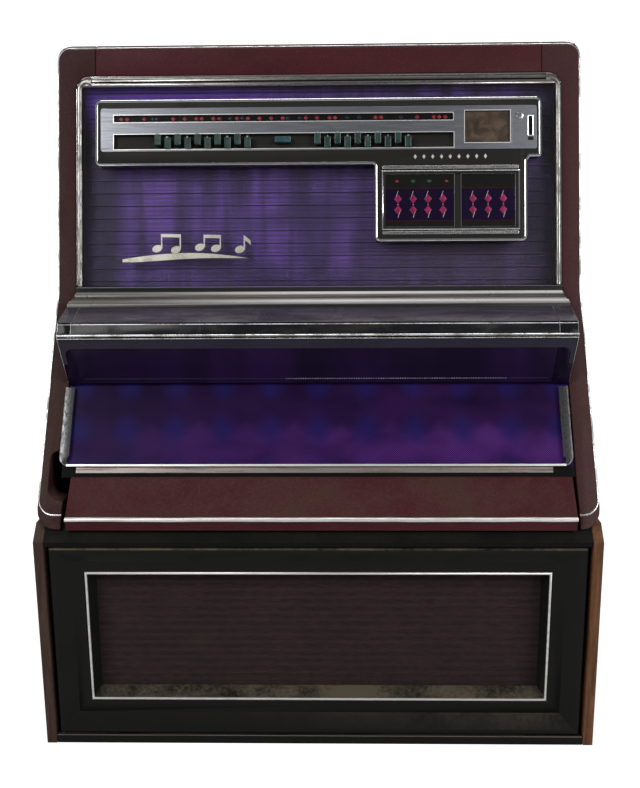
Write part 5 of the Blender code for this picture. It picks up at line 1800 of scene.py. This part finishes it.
def onVisor(x, down, proud):
    # on the outer side of the sheet that slopes back under the ledge
    start = Vector((0, *front["visorTop"]))
    end = Vector((0, *front["visorFoot"]))
    along = (end - start).normalized()
    outward = Vector((0, along.z, -along.y))
    return start + along * down + outward * proud + Vector((x, 0, 0))


def makeVisorBand():
    # greyish band along the head of the sheet, with the dark opening's rounded corners below it
    look = visorLook
    half, head, foot, legFoot = [look[name] for name in ("bandHalf", "bandHead", "bandFoot", "legFoot")]
    inner = half - look["bandLeg"]
    line = roundCorners(
        [(-half, head), (half, head), (half, legFoot), (inner, legFoot), (inner, foot), (-inner, foot),
         (-inner, legFoot), (-half, legFoot)],
        [0, 0, 0, 0, look["bandCorner"], look["bandCorner"], 0, 0],
    )
    low, high = look["bandLow"], look["bandHigh"]
    addOnFace("visorBand", line, low, high, onVisor, paint["bandPlastic"])


def makeFoldLine():
    # painted highlight along the sheet's fold near its foot: a bright line, broken into beads on its right
    # half
    look = visorLook
    along = look["foldDown"]
    half = look["foldHalf"]
    strip = rectangle(look["foldLeft"], look["foldRight"], along - half, along + half)
    addOnFace(
        "foldLine", strip, look["foldLow"], look["foldHigh"], onVisor, metal["dullStrip"]
    )
    shape = bmesh.new()
    half = look["beadHalf"]
    for step in range(int((look["beadEnd"] - look["beadStart"]) / look["beadPitch"])):
        x = look["beadStart"] + step * look["beadPitch"]
        corners = rectangle(x, x + look["beadLength"], along - half, along + half)
        addPlate(shape, corners, look["beadLow"], look["beadHigh"], onVisor)
    addPiece("foldBeads", finishMesh(shape, "foldBeads"), ink["foldGlint"], "lid")


makeDisplayTrim()
makeDisplaySill()
makeVisorBand()
makeFoldLine()


# Grille door

print("scene: grille door")
doorLook = {
    "trim": (-0.4305, 0.4305, 0.0845, 0.3440),
    "trimProfile": (0.0052, 0.0035, -0.0145, 6),
    "plinthLine": (-0.4975, 0.4975, 0.0164, 0.0180),
    "plinthLow": -0.0014,
    "plinthHigh": -0.0006,
    "cloth": ((0.0115, 0.0050, 0.0050), (0.042, 0.0170, 0.0160)),
    "thread": (0.008, 0.0042, 0.0042),
    "dustTint": (0.10, 0.075, 0.055),
    "dusted": (0.075, 0.048, 0.038),
    "rowPitch": 0.0024,
    "columnPitch": 0.0030,
    "threadWidth": 0.0009,
}
softCopy(
    "grille_door_frame", paint["doorPaint"], "grille_door", cabinetLook["doorEdge"], 2
)
doorProfile = halfRound(*doorLook["trimProfile"])
addRim(
    "doorTrim", rectangle(*doorLook["trim"]), doorProfile, onDoor, metal["silverStrip"], body="grille_door"
)
# paint worn through along the plinth's upper edge
plinthLine = rectangle(*doorLook["plinthLine"])
addOnFace(
    "plinthLine", plinthLine, doorLook["plinthLow"], doorLook["plinthHigh"], onDoor, paint["wornEdge"],
    "cabinet"
)


def clothMaterial():
    # coarse maroon cloth, dusty in patches
    look = doorLook
    material, tree, shader = newMaterial("grilleCloth", Sheen_Weight=0.15)
    place = objectPlace(tree)
    parts = addNode(tree, "SeparateXYZ", {0: place}).outputs
    rows = stripeMask(tree, parts["Z"], look["rowPitch"], 0.0, look["threadWidth"])
    columns = stripeMask(tree, parts["X"], look["columnPitch"], 0.0, look["threadWidth"], 0.0008)
    slub = cloudNoise(tree, stretched(tree, place, (26, 1, 260)), 2.2, 5, Roughness=0.7)
    dark, light = look["cloth"]
    base = mixColour(tree, ramp(tree, slub, 0.36, 0.74), (*dark, 1), (*light, 1))
    woven = mixColour(tree, product(tree, rows, 0.3), base, (*look["thread"], 1))
    dirty = {"Color": woven, "Dust Color": (*look["dustTint"], 1), "Dust": 0.0, "Dirt": 0.5, "Scale": 7.0}
    worn = useGroup(tree, grime, dirty)
    patches = product(tree, ramp(tree, worn["Cloud"], 0.58, 0.80), 0.25)
    setBase(tree, shader, mixColour(tree, patches, worn["Color"], (*look["dusted"], 1)))
    shader.inputs["Roughness"].default_value = 0.92
    relief = mathNode(tree, "SUBTRACT", mathNode(tree, "ADD", slub, columns), rows)
    bumpInto(tree, shader, relief, 0.0006, 0.8)
    return material


setFinish("grille_panel", clothMaterial())


# Studio: pale sweep, soft lamps and the camera at the photograph's angle

print("scene: studio")
studio = {
    "paper": (0.66, 0.66, 0.66),
    "frontY": -6.0,
    "backY": 3.2,
    "height": 5.0,
    "bend": 1.6,
    "bendSteps": 12,
    "halfWidth": 7.0,
    "worldColour": (0.95, 0.97, 1.0),
    "worldStrength": 0.16,
    "backdropGlow": 0.75,
}
lamps = {  # place, what it is turned to, size and power
    "keyLamp": ((-2.4, -3.0, 2.9), (0, 0, 0.7), (1.8, 1.8), 84),
    "fillLamp": ((2.7, -2.8, 2.3), (0, 0, 0.7), (1.8, 1.8), 78),
    "topLamp": ((0, 0.4, 3.6), (0, 0, 0.9), (2.6, 1.4), 40),
}


def paperMaterial():
    # pale paper that glows a little where the camera sees it
    material, tree, shader = newMaterial("studioPaper", Roughness=0.95)
    shader.inputs["Base Color"].default_value = (*studio["paper"], 1)
    shader.inputs["Emission Color"].default_value = (1, 1, 1, 1)
    path = addNode(tree, "LightPath").outputs
    seen = mathNode(tree, "MAXIMUM", path["Is Camera Ray"], path["Is Transmission Ray"])
    tree.links.new(product(tree, seen, studio["backdropGlow"]), shader.inputs["Emission Strength"])
    return material


def makeSweep():
    shape = bmesh.new()
    bend = studio["bend"]
    line = [(studio["frontY"], 0.0)]
    for step in range(studio["bendSteps"] + 1):
        turn = math.pi / 2 * step / studio["bendSteps"]
        line.append((studio["backY"] - bend + bend * math.sin(turn), bend - bend * math.cos(turn)))
    line.append((studio["backY"], studio["height"]))
    rings = [[shape.verts.new((side * studio["halfWidth"], y, z)) for side in (-1, 1)] for y, z in line]
    for ring, following in zip(rings, rings[1:]):
        shape.faces.new((ring[0], ring[1], following[1], following[0]))
    mesh = finishMesh(shape, "studioSweep", 80)
    mesh.materials.append(paperMaterial())
    sweep = bpy.data.objects.new("studioSweep", mesh)
    bpy.context.scene.collection.objects.link(sweep)


def addLamp(name, place, target, size, power):
    data = bpy.data.lights.new(name, "AREA")
    data.shape = "RECTANGLE"
    data.size, data.size_y = size
    data.energy = power
    lamp = bpy.data.objects.new(name, data)
    bpy.context.scene.collection.objects.link(lamp)
    lamp.location = place
    aim = Vector(target) - Vector(place)
    lamp.rotation_euler = aim.to_track_quat("-Z", "Y").to_euler()


makeSweep()
for lampName, lampSetup in lamps.items():
    addLamp(lampName, *lampSetup)

world = bpy.data.worlds.new("studioAir")
bpy.context.scene.world = world
world.use_nodes = True
background = world.node_tree.nodes["Background"]
background.inputs["Color"].default_value = (*studio["worldColour"], 1)
background.inputs["Strength"].default_value = studio["worldStrength"]

cameraSetup = {
    "place": (0.0455, -2.0350, 1.0698),
    "pitch": 12.8,
    "yaw": 1.26,
    "roll": -0.43,
    "focal": 1000.0,  # in pixels of the picture, which is 788 high
    "pictureHeight": 788,
    "sensorHeight": 36,
}
cameraData = bpy.data.cameras.new("photoCamera")
cameraData.sensor_fit = "VERTICAL"
cameraData.sensor_height = cameraSetup["sensorHeight"]
cameraData.lens = cameraSetup["focal"] / cameraSetup["pictureHeight"] * cameraData.sensor_height
camera = bpy.data.objects.new("photoCamera", cameraData)
bpy.context.scene.collection.objects.link(camera)
place = Matrix.Translation(cameraSetup["place"])
turn = Matrix.Rotation(math.radians(cameraSetup["yaw"]), 4, "Z")
tilt = Matrix.Rotation(math.radians(90 - cameraSetup["pitch"]), 4, "X")
camera.matrix_world = place @ turn @ tilt @ Matrix.Rotation(math.radians(cameraSetup["roll"]), 4, "Z")
bpy.context.scene.camera = camera
bpy.context.scene.view_settings.view_transform = "Standard"
